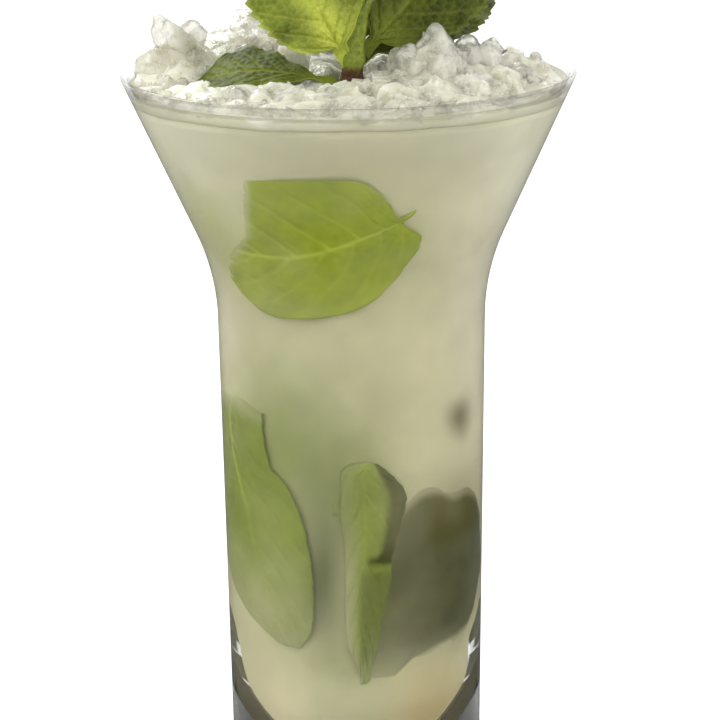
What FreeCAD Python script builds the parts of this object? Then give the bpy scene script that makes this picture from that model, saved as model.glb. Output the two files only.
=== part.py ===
"""A mojito in its flared glass, heaped with crushed ice and topped with a sprig of mint.

Millimetres, +Z up. The origin is the centre of the foot, on the surface that the glass stands on.
The glass is one turned body with a thick base and a deep, egg-shaped well. The drink fills the well
up to its level, the crushed ice is heaped on the drink, and the mint stem stands in both.
Each leaf of the sprig is a thin toothed blade, folded along its midrib.
"""
import FreeCAD, Part
import math
import os
import random

import Sketcher

doc = FreeCAD.newDocument("mojito")

NO_LENGTH = 1e-9
SAME_PLACE = 0.01

# ---------------------------------------------------------------------------------------------
# Driving dimensions
# ---------------------------------------------------------------------------------------------

SIZES = [
    ("glass_height", 160.0, "foot to lip"),
    ("foot_radius", 25.95, "outer radius of the body where it stands"),
    ("foot_edge", 1.6, "rounding of the foot's edge"),
    ("bend_radius_outer", 28.13, "outer radius where body and flare would meet"),
    ("bend_height", 117.9, "height where body and flare would meet"),
    ("bend_rounding", 47.0, "rounding of the outer bend"),
    ("bend_rounding_inner", 45.2, "rounding of the inner bend"),
    ("lip_radius", 47.5, "outer radius of the lip"),
    ("lip_wall", 1.4, "wall at the lip"),
    ("lip_rounding", 0.55, "rounding of each edge of the lip"),
    ("bend_wall", 1.8, "wall at the bend"),
    ("well_radius", 25.2, "inner radius where the egg-shaped floor begins"),
    ("well_top", 66.0, "height where the egg-shaped floor begins"),
    ("well_floor", 11.0, "lowest point of the well"),
    ("drink_level", 157.0, "surface of the drink"),
    ("ice_clearance", 0.25, "gap between the heaped ice and the wall"),
    ("ice_edge", 1.5, "height of the heap at the wall, above the drink"),
    ("ice_crown", 1.7, "extra height of the heap at its middle"),
    ("ice_lowest", 0.5, "least height of the heap above the drink"),
    ("ice_chunk", 6.5, "size of the larger lumps of ice"),
    ("ice_jitter", 0.4, "how far a lump strays from its place, as a part of the lump's size"),
    ("ice_relief", 1.3, "unevenness of the lumps"),
    ("ice_slope", 0.28, "steepest slope of a lump's face"),
    ("ice_fade", 0.6, "how much flatter the lumps are at the wall"),
    ("stem_x", -0.3, "where the stem stands, across"),
    ("stem_y", -12.0, "where the stem stands, towards the front"),
    ("stem_foot", 141.0, "lowest point of the stem, sunk in the drink"),
    ("stem_width", 5.8, "side of the square stem at its foot"),
    ("stem_width_top", 2.4, "side of the square stem at its top"),
    ("stem_length", 47.0, "length of the stem"),
    ("stem_lean", 3.0, "how far the top leans back"),
    ("stem_lean_side", 6.0, "how far the top leans to the right"),
    ("stem_corner", 0.9, "rounding of the stem's four corners, as a length"),
    ("leaf_gap", 0.3, "gap between the stem and the end of a leaf's stalk"),
    ("leaf_thickness", 0.7, "thickness of a leaf at its midrib"),
    ("leaf_thinning", 0.5, "how much thinner a leaf is at its tip"),
    ("leaf_side_thinning", 0.2, "how much thinner it is halfway to its edge"),
    ("leaf_fullness", 0.72, "below 1, the outline is fuller than a sine's"),
    ("leaf_stalk_length", 0.09, "stalk, as a part of the leaf's length"),
    ("leaf_stalk_width", 0.11, "stalk, as a part of the leaf's width"),
    ("leaf_tip_width", 0.03, "blunt end, as a part of the leaf's width"),
    ("leaf_tooth", 0.09, "depth of a tooth, as a part of the half width"),
    ("leaf_teeth", 9, "teeth along each side of a leaf"),
]

# Lumps that stand out of the heap: name, x, y, height, spread.
ICE_MOUNDS = [
    ("peak_left", -36.0, 11.0, 7.0, 6.0),
    ("shoulder_left", -29.0, 2.0, 2.6, 8.0),
    ("peak_right", 17.0, -15.5, 10.6, 6.0),
    ("shoulder_right", 26.0, -9.0, 5.4, 7.5),
    ("slab_back", -20.0, 26.0, 4.6, 9.0),
    ("lump_back", 4.0, 31.0, 3.4, 9.0),
    ("lump_front", -4.0, -30.0, 1.4, 7.0),
    ("lump_front_right", 11.0, -28.0, 1.7, 6.0),
    ("gap_right", 42.0, 0.0, -2.3, 9.0),
    ("bed_of_leaf", -26.0, -3.0, -6.5, 10.0),
    ("bed_of_stalk", -8.0, -11.0, -2.0, 7.0),
]

# Leaves: name, height on the stem, azimuth, pitch, roll, length, width, fold, curl, widest place.
# The azimuth counts from +X towards +Y, a positive curl bends the tip down, and the widest place is
# a share of the blade's length.
LEAVES = [
    ("resting", 18.0, 167.0, 10.5, -20.0, 32.5, 19.0, 5.0, 43.0, 0.68),
    ("left", 22.5, 222.0, 57.5, -104.0, 48.0, 28.0, 12.0, 18.0, 0.45),
    ("right", 24.0, 20.0, 44.0, 56.0, 43.0, 27.0, 14.0, 26.0, 0.43),
    ("right_low", 22.5, 42.0, 22.0, 38.0, 42.0, 20.0, 10.0, 26.0, 0.5),
    ("back", 24.5, 88.0, 34.0, 0.0, 36.0, 25.0, 12.0, 44.0, 0.43),
    ("back_left", 26.5, 138.0, 38.0, -6.0, 35.0, 23.0, 12.0, 46.0, 0.43),
    ("upper_left", 35.0, 244.0, 56.0, 0.0, 26.0, 16.0, 12.0, 40.0, 0.43),
    ("upper_right", 33.5, 324.0, 56.0, 0.0, 27.0, 16.0, 12.0, 40.0, 0.43),
    ("upper_back_right", 34.0, 54.0, 50.0, 0.0, 27.0, 16.0, 12.0, 40.0, 0.43),
    ("upper_back_left", 34.5, 142.0, 52.0, 0.0, 26.0, 16.0, 12.0, 40.0, 0.43),
    ("crown_front", 40.0, 262.0, 64.0, 0.0, 17.0, 10.0, 10.0, 10.0, 0.43),
    ("crown_back", 40.5, 82.0, 62.0, 0.0, 17.0, 10.0, 10.0, 10.0, 0.43),
    ("crown_left", 43.0, 172.0, 68.0, 0.0, 13.0, 7.5, 10.0, 6.0, 0.43),
    ("crown_right", 43.5, 352.0, 68.0, 0.0, 13.0, 7.5, 10.0, 6.0, 0.43),
]
MOUND_FIELDS = ("x", "y", "rise", "spread")
LEAF_FIELDS = ("node", "azimuth", "pitch", "roll", "length", "width", "fold", "curl", "widest")

sheet = doc.addObject("Spreadsheet::Sheet", "Sizes")


def write_sizes():
    """Fill the spreadsheet: name in column A, value in B with that alias, meaning in C."""
    rows = list(SIZES)
    for name, *values in ICE_MOUNDS:
        rows += [(f"{name}_{field}", value, "ice mound") for field, value in zip(MOUND_FIELDS, values)]
    for name, *values in LEAVES:
        rows += [(f"leaf_{name}_{field}", value, "mint leaf") for field, value in zip(LEAF_FIELDS, values)]
    for row, (alias, value, meaning) in enumerate(rows, start=1):
        sheet.set(f"A{row}", alias)
        sheet.set(f"B{row}", str(value))
        sheet.set(f"C{row}", meaning)
        sheet.setAlias(f"B{row}", alias)
    doc.recompute()


def size(alias):
    """The number in the cell with this alias."""
    return float(sheet.get(alias))


write_sizes()

# ---------------------------------------------------------------------------------------------
# Sketches and turned bodies
# ---------------------------------------------------------------------------------------------

LIP_INNER = "Sizes.lip_radius - Sizes.lip_wall"
BEND_INNER = "Sizes.bend_radius_outer - Sizes.bend_wall"
FLARE_AT_LEVEL = (
    f"{LIP_INNER} - (Sizes.glass_height - Sizes.drink_level)"
    f" * ({LIP_INNER} - ({BEND_INNER})) / (Sizes.glass_height - Sizes.bend_height)"
)


def origin_plane(body, role):
    """The body's own origin plane with this role."""
    return next(feature for feature in body.Origin.OriginFeatures if feature.Role == role)


def add_sketch(body, name, role):
    """An empty sketch on one of the body's own origin planes."""
    sketch = body.newObject("Sketcher::SketchObject", name)
    sketch.AttachmentSupport = [(origin_plane(body, role), "")]
    sketch.MapMode = "FlatFace"
    return sketch


def bind(sketch, kind, geometry, point, expression):
    """Hold a point's distance from the sketch origin to an expression on the sheet."""
    value = float(sketch.evalExpression(expression))
    if abs(value) < NO_LENGTH:
        axis = -2 if kind == "DistanceX" else -1
        sketch.addConstraint(Sketcher.Constraint("PointOnObject", geometry, point, axis))
        return
    index = sketch.addConstraint(Sketcher.Constraint(kind, -1, 1, geometry, point, value))
    sketch.setExpression(f"Constraints[{index}]", expression)


def spot(sketch, corner):
    """The point that a pair of expressions stands for."""
    return FreeCAD.Vector(*(float(sketch.evalExpression(part)) for part in corner), 0)


def quarter_ellipse(centre, side, bottom):
    """The quarter of an upright ellipse from its lowest point round to its side."""
    return Part.ArcOfEllipse(Part.Ellipse(bottom, side, centre), 0.0, math.pi / 2)


def turned_profile(sketch, corners):
    """Close a profile through corners given as pairs of expressions.

    The piece from the well's floor to the well's side is a quarter of an ellipse, and the rest are
    straight. The corners run so that the floor comes first and the side second.
    """
    points = [spot(sketch, corner) for corner in corners]
    arc = quarter_ellipse(FreeCAD.Vector(0, points[1].y, 0), points[1], points[0])
    sketch.addGeometry(arc, False)
    count = len(points)
    for index in range(1, count):
        sketch.addGeometry(Part.LineSegment(points[index], points[(index + 1) % count]), False)
    arc_ends = {"floor": 1, "side": 2}
    if arc.StartPoint.distanceToPoint(points[0]) > arc.EndPoint.distanceToPoint(points[0]):
        arc_ends = {"floor": 2, "side": 1}
    sketch.addConstraint(Sketcher.Constraint("Coincident", 0, arc_ends["side"], 1, 1))
    for index in range(1, count - 1):
        sketch.addConstraint(Sketcher.Constraint("Coincident", index, 2, index + 1, 1))
    sketch.addConstraint(Sketcher.Constraint("Coincident", count - 1, 2, 0, arc_ends["floor"]))
    for index in range(1, count):
        bind(sketch, "DistanceX", index, 1, corners[index][0])
        bind(sketch, "DistanceY", index, 1, corners[index][1])
    bind(sketch, "DistanceX", 0, arc_ends["floor"], corners[0][0])
    bind(sketch, "DistanceY", 0, arc_ends["floor"], corners[0][1])
    sketch.exposeInternalGeometry(0)
    sketch.addConstraint(Sketcher.Constraint("Vertical", count))
    bind(sketch, "DistanceX", 0, 3, "0")
    bind(sketch, "DistanceY", 0, 3, corners[1][1])


def turn(body, sketch, name):
    """Revolve a sketch of XZ about the upright axis."""
    revolution = body.newObject("PartDesign::Revolution", name)
    revolution.Profile = sketch
    revolution.ReferenceAxis = (sketch, ["V_Axis"])
    revolution.Angle = 360
    doc.recompute()
    return revolution


def round_edges(body, base, name, radius_alias, spots):
    """Round the level circular edges at the given (radius, height) spots."""
    found = []
    for index, edge in enumerate(base.Shape.Edges, start=1):
        if edge.Degenerated or not isinstance(edge.Curve, Part.Circle):
            continue
        curve = edge.Curve
        if any(math.hypot(curve.Radius - r, curve.Center.z - z) < SAME_PLACE for r, z in spots):
            found.append(f"Edge{index}")
    if len(found) != len(spots):
        raise RuntimeError(f"{name}: found {len(found)} of {len(spots)} edges")
    fillet = body.newObject("PartDesign::Fillet", name)
    fillet.Base = (base, found)
    fillet.setExpression("Radius", f"Sizes.{radius_alias}")
    doc.recompute()
    return fillet


def make_glass():
    """The glass: thick base, nearly straight body, flared mouth, round lip."""
    body = doc.addObject("PartDesign::Body", "glass")
    body.Label = "glass"
    sketch = add_sketch(body, "glass_profile", "XZ_Plane")
    turned_profile(sketch, [
        ("0", "Sizes.well_floor"),
        ("Sizes.well_radius", "Sizes.well_top"),
        (BEND_INNER, "Sizes.bend_height"),
        (LIP_INNER, "Sizes.glass_height"),
        ("Sizes.lip_radius", "Sizes.glass_height"),
        ("Sizes.bend_radius_outer", "Sizes.bend_height"),
        ("Sizes.foot_radius", "0"),
        ("0", "0"),
    ])
    solid = turn(body, sketch, "glass_turned")
    bend = size("bend_height")
    outer = size("bend_radius_outer")
    inner = outer - size("bend_wall")
    lip = size("lip_radius")
    top = size("glass_height")
    solid = round_edges(body, solid, "glass_bend", "bend_rounding", [(outer, bend)])
    solid = round_edges(body, solid, "glass_bend_inner", "bend_rounding_inner", [(inner, bend)])
    solid = round_edges(body, solid, "glass_lip", "lip_rounding", [(lip, top), (lip - size("lip_wall"), top)])
    round_edges(body, solid, "glass_foot", "foot_edge", [(size("foot_radius"), 0.0)])
    return body


def make_drink_body():
    """All that the well holds up to the level, before the stem is cut out."""
    body = doc.addObject("PartDesign::Body", "drink_body")
    sketch = add_sketch(body, "drink_profile", "XZ_Plane")
    turned_profile(sketch, [
        ("0", "Sizes.well_floor"),
        ("Sizes.well_radius", "Sizes.well_top"),
        (BEND_INNER, "Sizes.bend_height"),
        (FLARE_AT_LEVEL, "Sizes.drink_level"),
        ("0", "Sizes.drink_level"),
    ])
    solid = turn(body, sketch, "drink_turned")
    inner = size("bend_radius_outer") - size("bend_wall")
    round_edges(body, solid, "drink_bend", "bend_rounding_inner", [(inner, size("bend_height"))])
    return body


# ---------------------------------------------------------------------------------------------
# The mint stem
# ---------------------------------------------------------------------------------------------

STEM_SECTIONS = 4


def stem_share(index):
    """How far along the stem a section lies, from 0 to 1."""
    return index / (STEM_SECTIONS - 1)


def stem_section(body, index):
    """One rounded square across the stem, shifted back as the stem leans."""
    share = stem_share(index)
    sketch = add_sketch(body, f"stem_section_{index}", "XY_Plane")
    sketch.setExpression("AttachmentOffset.Base.z", f"{share} * Sizes.stem_length")
    sketch.setExpression("AttachmentOffset.Base.x", f"{share ** 2} * Sizes.stem_lean_side")
    sketch.setExpression("AttachmentOffset.Base.y", f"{share ** 2} * Sizes.stem_lean")
    half = f"((1 - {share}) * Sizes.stem_width + {share} * Sizes.stem_width_top) / 2"
    cut = f"Sizes.stem_corner * ((1 - {share}) + {share} * Sizes.stem_width_top / Sizes.stem_width)"
    short = f"({half} - {cut})"
    corners = []
    pair = [(half, f"-{short}"), (half, short)]
    for _ in range(4):
        corners += pair
        pair = [(f"-({y})", x) for x, y in pair]
    points = [spot(sketch, corner) for corner in corners]
    for start, end in zip(points, points[1:] + points[:1]):
        sketch.addGeometry(Part.LineSegment(start, end), False)
    for side in range(len(points)):
        sketch.addConstraint(Sketcher.Constraint("Coincident", side, 2, (side + 1) % len(points), 1))
    for side, corner in enumerate(corners):
        bind(sketch, "DistanceX", side, 1, corner[0])
        bind(sketch, "DistanceY", side, 1, corner[1])
    return sketch


def make_stem():
    """The square stem, tapering and leaning back, lofted through its sections."""
    body = doc.addObject("PartDesign::Body", "mint_stem")
    body.Label = "mint_stem"
    sections = [stem_section(body, index) for index in range(STEM_SECTIONS)]
    loft = body.newObject("PartDesign::AdditiveLoft", "stem_loft")
    loft.Profile = sections[0]
    loft.Sections = sections[1:]
    loft.Ruled = False
    for axis, alias in (("x", "stem_x"), ("y", "stem_y"), ("z", "stem_foot")):
        body.setExpression(f"Placement.Base.{axis}", f"Sizes.{alias}")
    doc.recompute()
    return body


def stem_point(height):
    """The middle of the stem at a height above its foot."""
    share = height / size("stem_length")
    foot = FreeCAD.Vector(size("stem_x"), size("stem_y"), size("stem_foot"))
    return foot + FreeCAD.Vector(share ** 2 * size("stem_lean_side"), share ** 2 * size("stem_lean"), height)


def stem_half_width(height):
    """Half the stem's side at a height above its foot."""
    share = height / size("stem_length")
    return ((1 - share) * size("stem_width") + share * size("stem_width_top")) / 2


# ---------------------------------------------------------------------------------------------
# Faceted solids: the heap of ice and the leaves
# ---------------------------------------------------------------------------------------------

SEWING = 0.001


def faceted_solid(points, triangles):
    """A closed solid from corner points and triangles that index them."""
    shell = Part.Shape()
    shell.makeShapeFromMesh(([tuple(point) for point in points], triangles), SEWING)
    solid = Part.makeSolid(shell)
    if solid.Volume < 0:
        solid.reverse()
    return solid


ICE_RINGS = 15
ICE_SPOKES = 60
ICE_SEED = 11


def ice_lumps():
    """Lumps on a loose grid over the heap: place, height and the slope of each lump's face."""
    draw = random.Random(ICE_SEED)
    spacing = size("ice_chunk")
    reach = int(size("lip_radius") / spacing) + 1
    lumps = []
    for column in range(-reach, reach + 1):
        for row in range(-reach, reach + 1):
            x, y = ((place + draw.uniform(-1, 1) * size("ice_jitter")) * spacing for place in (column, row))
            rise = draw.uniform(-1, 1) * size("ice_relief")
            slope = [draw.uniform(-1, 1) * size("ice_slope") for _ in range(2)]
            lumps.append((x, y, rise, slope))
    return lumps


def ice_height(x, y, lumps, edge_radius):
    """Height of the heap above the drink at one spot."""
    share = min(math.hypot(x, y) / edge_radius, 1.0)
    height = size("ice_edge") + size("ice_crown") * (1 - share ** 2)
    for name, *_ in ICE_MOUNDS:
        away = math.hypot(x - size(f"{name}_x"), y - size(f"{name}_y"))
        height += size(f"{name}_rise") * math.exp(-(away / size(f"{name}_spread")) ** 2)
    lump_x, lump_y, rise, slope = min(lumps, key=lambda lump: math.hypot(x - lump[0], y - lump[1]))
    fade = 1 - size("ice_fade") * share ** 4
    height += fade * (rise + slope[0] * (x - lump_x) + slope[1] * (y - lump_y))
    return max(height, size("ice_lowest"))


def make_ice_heap():
    """The heap of crushed ice: flat on the drink, uneven above, before the stem is cut out."""
    level = size("drink_level")
    inner_lip = size("lip_radius") - size("lip_wall")
    inner_bend = size("bend_radius_outer") - size("bend_wall")
    slope = (inner_lip - inner_bend) / (size("glass_height") - size("bend_height"))
    edge_radius = inner_lip - slope * (size("glass_height") - level) - size("ice_clearance")
    lumps = ice_lumps()
    points = [FreeCAD.Vector(0, 0, level), FreeCAD.Vector(0, 0, level + ice_height(0, 0, lumps, edge_radius))]
    for ring in range(1, ICE_RINGS + 1):
        radius = edge_radius * ring / ICE_RINGS
        for spoke in range(ICE_SPOKES):
            angle = 2 * math.pi * (spoke + 0.5 * (ring % 2)) / ICE_SPOKES
            x = radius * math.cos(angle)
            y = radius * math.sin(angle)
            points.append(FreeCAD.Vector(x, y, level + ice_height(x, y, lumps, edge_radius)))
    points += [FreeCAD.Vector(point.x, point.y, level) for point in points[-ICE_SPOKES:]]

    def name(ring, spoke):
        """A point's place in the list; the ring past the last one lies on the drink."""
        return 2 + (ring - 1) * ICE_SPOKES + spoke % ICE_SPOKES

    triangles = []
    for spoke in range(ICE_SPOKES):
        triangles.append((1, name(1, spoke), name(1, spoke + 1)))
        triangles.append((0, name(ICE_RINGS + 1, spoke + 1), name(ICE_RINGS + 1, spoke)))
        for ring in range(1, ICE_RINGS + 1):
            near, near_next = name(ring, spoke), name(ring, spoke + 1)
            far, far_next = name(ring + 1, spoke), name(ring + 1, spoke + 1)
            if ring % 2:
                triangles += [(near, far, far_next), (near, far_next, near_next)]
            else:
                triangles += [(near, far, near_next), (near_next, far, far_next)]
    heap = doc.addObject("Part::Feature", "ice_heap")
    heap.Shape = faceted_solid(points, triangles)
    return heap


LEAF_COLUMNS = 4


def leaf_half_width(along, width, widest):
    """Half width of a leaf: a narrow stalk, then an oval blade with its tip pointed."""
    stalk = size("leaf_stalk_length")
    if along <= stalk:
        return width * size("leaf_stalk_width") / 2
    blade = (along - stalk) / (1 - stalk)
    turn_share = min(blade ** (math.log(0.5) / math.log(widest)), 1.0)
    oval = math.sin(math.pi * turn_share) ** size("leaf_fullness")
    return width / 2 * max(oval, size("leaf_stalk_width") * (1 - blade), size("leaf_tip_width"))


def leaf_midrib(stations, length, curl):
    """Points and slopes along the midrib, which bends down by the curl, most of it near the tip."""
    step = length / stations
    x, z, spine = 0.0, 0.0, []
    for index in range(stations + 1):
        slope = -math.radians(curl) * (index / stations) ** 2
        spine.append((x, z, slope))
        x += step * math.cos(slope)
        z += step * math.sin(slope)
    return spine


def leaf_rows(along, half, fold):
    """Across a leaf: the distance across and the rise of its top points, then of those under it.

    The two edges are sharp and belong to the top row alone.
    """
    thick = size("leaf_thickness") * (1 - size("leaf_thinning") * along)
    lift = math.tan(math.radians(fold))
    top_row, under_row = [], []
    for column in range(LEAF_COLUMNS + 1):
        across = 2 * column / LEAF_COLUMNS - 1
        middle = abs(across) * half * lift
        if abs(across) == 1:
            top_row.append((across * half, middle))
            continue
        skin = thick / 2 * (1 - 2 * size("leaf_side_thinning") * abs(across))
        top_row.append((across * half, middle + skin))
        under_row.append((across * half, middle - skin))
    return top_row, under_row


def fan(corners):
    """Triangles that fill a small convex loop of corners."""
    return [(corners[0], corners[place], corners[place + 1]) for place in range(1, len(corners) - 1)]


def leaf_solid(length, width, fold, curl, widest):
    """One leaf along +X from the origin: toothed, folded up along its midrib, thin at its edges."""
    stations = 2 * int(size("leaf_teeth")) + 2
    upper, lower, points = [], [], []
    for index, (x, z, slope) in enumerate(leaf_midrib(stations, length, curl)):
        along = index / stations
        half = leaf_half_width(along, width, widest)
        if along > size("leaf_stalk_length") and index % 2:
            half *= 1 - size("leaf_tooth")
        top_row, under_row = leaf_rows(along, half, fold)
        names = list(range(len(points), len(points) + len(top_row + under_row)))
        for y, rise in top_row + under_row:
            points.append(FreeCAD.Vector(x - rise * math.sin(slope), y, z + rise * math.cos(slope)))
        upper.append(names[:len(top_row)])
        lower.append([names[0]] + names[len(top_row):] + [names[len(top_row) - 1]])
    triangles = []
    for index in range(stations):
        for column in range(LEAF_COLUMNS):
            for grid, order in ((upper, 1), (lower, -1)):
                corners = [grid[index][column], grid[index + 1][column]]
                corners += [grid[index + 1][column + 1], grid[index][column + 1]]
                triangles += fan(corners[::order])
    for end, order in ((0, 1), (stations, -1)):
        for column in range(LEAF_COLUMNS):
            corners = [upper[end][column], upper[end][column + 1], lower[end][column + 1], lower[end][column]]
            triangles += fan(list(dict.fromkeys(corners))[::order])
    return faceted_solid(points, triangles)


def make_leaf(name):
    """One leaf of the sprig, set on the stem."""
    value = {field: size(f"leaf_{name}_{field}") for field in LEAF_FIELDS}
    leaf = doc.addObject("Part::Feature", f"mint_leaf_{name}")
    leaf.Label = f"mint_leaf_{name}"
    leaf.Shape = leaf_solid(*(value[field] for field in ("length", "width", "fold", "curl", "widest")))
    turn_to = FreeCAD.Rotation(value["azimuth"], -value["pitch"], value["roll"])
    outward = FreeCAD.Rotation(value["azimuth"], 0, 0).multVec(FreeCAD.Vector(1, 0, 0))
    base = stem_point(value["node"]) + outward * (stem_half_width(value["node"]) + size("leaf_gap"))
    leaf.Placement = FreeCAD.Placement(base, turn_to)
    return leaf


# ---------------------------------------------------------------------------------------------
# The whole drink
# ---------------------------------------------------------------------------------------------

def cut_round_stem(label, whole, stem):
    """A solid with the stem's room taken out of it."""
    cut = doc.addObject("Part::Cut", label)
    cut.Label = label
    cut.Base = whole
    cut.Tool = stem
    return cut


glass = make_glass()
stem = make_stem()
drink = cut_round_stem("drink", make_drink_body(), stem)
crushed_ice = cut_round_stem("crushed_ice", make_ice_heap(), stem)
leaves = [make_leaf(name) for name, *_ in LEAVES]
nodes = [glass, drink, crushed_ice, stem] + leaves
doc.recompute()

for item in doc.Objects:
    if "Invalid" in item.State or "Error" in item.State:
        raise RuntimeError(f"{item.Name} failed: {item.State}")
for node in nodes:
    if node.Shape.isNull() or not node.Shape.isValid() or len(node.Shape.Solids) != 1:
        raise RuntimeError(f"{node.Label} isn't one valid solid")

os.makedirs("parts", exist_ok=True)
for node in nodes:
    node.Shape.exportStep(f"parts/{node.Label}.step")
    print(node.Label, "volume", round(node.Shape.Volume, 1), "faces", len(node.Shape.Faces))
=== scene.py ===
import math

import bmesh
import bpy
import numpy as np
from mathutils import Matrix, Vector
from mathutils.bvhtree import BVHTree


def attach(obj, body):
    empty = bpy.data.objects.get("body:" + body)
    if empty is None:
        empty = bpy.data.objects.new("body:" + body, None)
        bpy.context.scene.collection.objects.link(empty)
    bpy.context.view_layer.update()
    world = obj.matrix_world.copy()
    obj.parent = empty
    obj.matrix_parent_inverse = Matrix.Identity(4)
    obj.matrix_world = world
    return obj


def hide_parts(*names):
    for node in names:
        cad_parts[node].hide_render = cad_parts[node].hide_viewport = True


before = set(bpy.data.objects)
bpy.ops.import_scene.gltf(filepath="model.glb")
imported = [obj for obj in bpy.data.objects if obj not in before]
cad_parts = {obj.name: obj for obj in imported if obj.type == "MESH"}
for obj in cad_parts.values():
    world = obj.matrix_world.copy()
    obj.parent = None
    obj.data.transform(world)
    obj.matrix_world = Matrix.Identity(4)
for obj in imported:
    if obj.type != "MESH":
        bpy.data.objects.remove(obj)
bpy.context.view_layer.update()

MM = 0.001

# ---------------------------------------------------------------- sizes of the CAD, in millimetres
GLASS_HEIGHT = 160.0
FOOT_RADIUS = 25.95
FOOT_EDGE = 1.6
BEND_RADIUS = 28.13
BEND_HEIGHT = 117.9
BEND_ROUNDING = 47.0
LIP_RADIUS = 47.5
LIP_WALL = 1.4
LIP_ROUNDING = 0.55
BEND_WALL = 1.8
WELL_RADIUS = 25.2
WELL_TOP = 66.0
WELL_FLOOR = 11.0
DRINK_LEVEL = 157.0
STEM_FOOT = 141.0
STEM_X, STEM_Y = -0.3, -12.0
STEM_LENGTH = 47.0
STEM_WIDTH, STEM_WIDTH_TOP = 5.8, 2.4
STEM_LEAN_BACK, STEM_LEAN_SIDE = 3.0, 6.0

ROUND = 192                             # segments round the glass
CAMERA_PITCH = math.radians(13.488)     # how far down the photo's camera looks


# ---------------------------------------------------------------- shapes
def smoothstep(low, high, value):
    share = np.clip((np.asarray(value, float) - low) / (high - low), 0, 1)
    return share * share * (3 - 2 * share)


def noise(points, cell, seed):
    """Smooth noise from -1 to 1 at points in millimetres, with lumps about one cell across."""
    count = 32
    table = np.random.RandomState(seed).uniform(-1, 1, (count,) * 3)
    places = np.asarray(points, float) / cell
    base = np.floor(places).astype(int)
    part = places - base
    part = part * part * (3 - 2 * part)
    total = 0
    for corner in range(8):
        step = np.array([corner & 1, corner >> 1 & 1, corner >> 2 & 1])
        at = (base + step) % count
        weight = np.prod(np.where(step, part, 1 - part), axis=1)
        total = total + weight * table[at[:, 0], at[:, 1], at[:, 2]]
    return total


def corner_arc(before, corner, after, radius, steps=24):
    """Points of the arc that rounds a corner of a profile."""
    before, corner, after = (np.array(p, float) for p in (before, corner, after))
    first = (before - corner) / np.linalg.norm(before - corner)
    second = (after - corner) / np.linalg.norm(after - corner)
    angle = math.acos(float(first @ second))
    reach = radius / math.tan(angle / 2)
    middle = (first + second) / np.linalg.norm(first + second)
    centre = corner + middle * radius / math.sin(angle / 2)
    start, end = corner + first * reach - centre, corner + second * reach - centre
    a, b = math.atan2(start[1], start[0]), math.atan2(end[1], end[0])
    if a - b > math.pi:
        b += 2 * math.pi
    if b - a > math.pi:
        b -= 2 * math.pi
    return [centre + radius * np.array([math.cos(t), math.sin(t)]) for t in np.linspace(a, b, steps)]


def spread(start, end, steps):
    return [np.array(start) + (np.array(end) - np.array(start)) * i / steps for i in range(1, steps)]


FOOT = (FOOT_RADIUS, 0.0)
OUTER_BEND = (BEND_RADIUS, BEND_HEIGHT)
OUTER_LIP = (LIP_RADIUS, GLASS_HEIGHT)
INNER_FOOT = (WELL_RADIUS, WELL_TOP)
INNER_BEND = (BEND_RADIUS - BEND_WALL, BEND_HEIGHT)
INNER_LIP = (LIP_RADIUS - LIP_WALL, GLASS_HEIGHT)


def well_arc(steps=40):
    """The well's bottom, a quarter of an ellipse from the axis out to the wall."""
    deep = WELL_TOP - WELL_FLOOR
    return [np.array([WELL_RADIUS * math.sin(t), WELL_TOP - deep * math.cos(t)])
            for t in np.linspace(0, math.pi / 2, steps)]


def inner_wall():
    """The inside of the glass from the middle of the well's floor up to the lip."""
    arc = corner_arc(INNER_FOOT, INNER_BEND, INNER_LIP, BEND_ROUNDING - BEND_WALL)
    return (well_arc() + spread(INNER_FOOT, arc[0], 12) + arc
            + spread(arc[-1], INNER_LIP, 12) + [np.array(INNER_LIP)])


INNER = np.array(inner_wall())


def inner_radius(height):
    """How far the glass's inner wall is from the axis at a height."""
    return np.interp(height, INNER[:, 1], INNER[:, 0])


def make_mesh(name, points, faces, materials, smooth_angle=None, marks=None, face_material=None):
    """A mesh piece from points in millimetres. marks are numbers or colours kept at its points."""
    mesh = bpy.data.meshes.new(name)
    mesh.from_pydata((np.asarray(points, float) * MM).tolist(), [], faces)
    for material in materials:
        mesh.materials.append(material)
    mesh.polygons.foreach_set("use_smooth", [True] * len(mesh.polygons))
    if face_material is not None:
        mesh.polygons.foreach_set("material_index", face_material)
    for mark, values in (marks or {}).items():
        values = np.asarray(values, np.float32)
        if values.ndim == 2:
            kept = mesh.attributes.new(mark, "FLOAT_COLOR", "POINT")
            kept.data.foreach_set("color", np.column_stack([values, np.ones(len(values))]).ravel())
        else:
            kept = mesh.attributes.new(mark, "FLOAT", "POINT")
            kept.data.foreach_set("value", values)
    mesh.update()
    if smooth_angle is not None:
        mesh.set_sharp_from_angle(angle=math.radians(smooth_angle))
    piece = bpy.data.objects.new(name, mesh)
    bpy.context.scene.collection.objects.link(piece)
    return piece


def ring_pairs(start, pairs, around):
    """Faces between rings of points, each ring joined to the next."""
    faces = []
    for ring in range(pairs):
        low, high = start + ring * around, start + (ring + 1) * around
        for j in range(around):
            k = (j + 1) % around
            faces.append((low + j, low + k, high + k, high + j))
    return faces


def capped_rings(rings, count):
    """Faces of rings of points, with a single point at either end."""
    faces = ring_pairs(1, rings - 1, count)
    faces += [(0, 1 + (j + 1) % count, 1 + j) for j in range(count)]
    last = 1 + (rings - 1) * count
    return faces + [(last + j, last + (j + 1) % count, last + count) for j in range(count)]


def ring_points(radius, height, turns):
    """A level ring of points, which starts at the front and goes round to the right."""
    return np.column_stack([radius * np.sin(turns), -radius * np.cos(turns), np.full(len(turns), height)])


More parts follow.
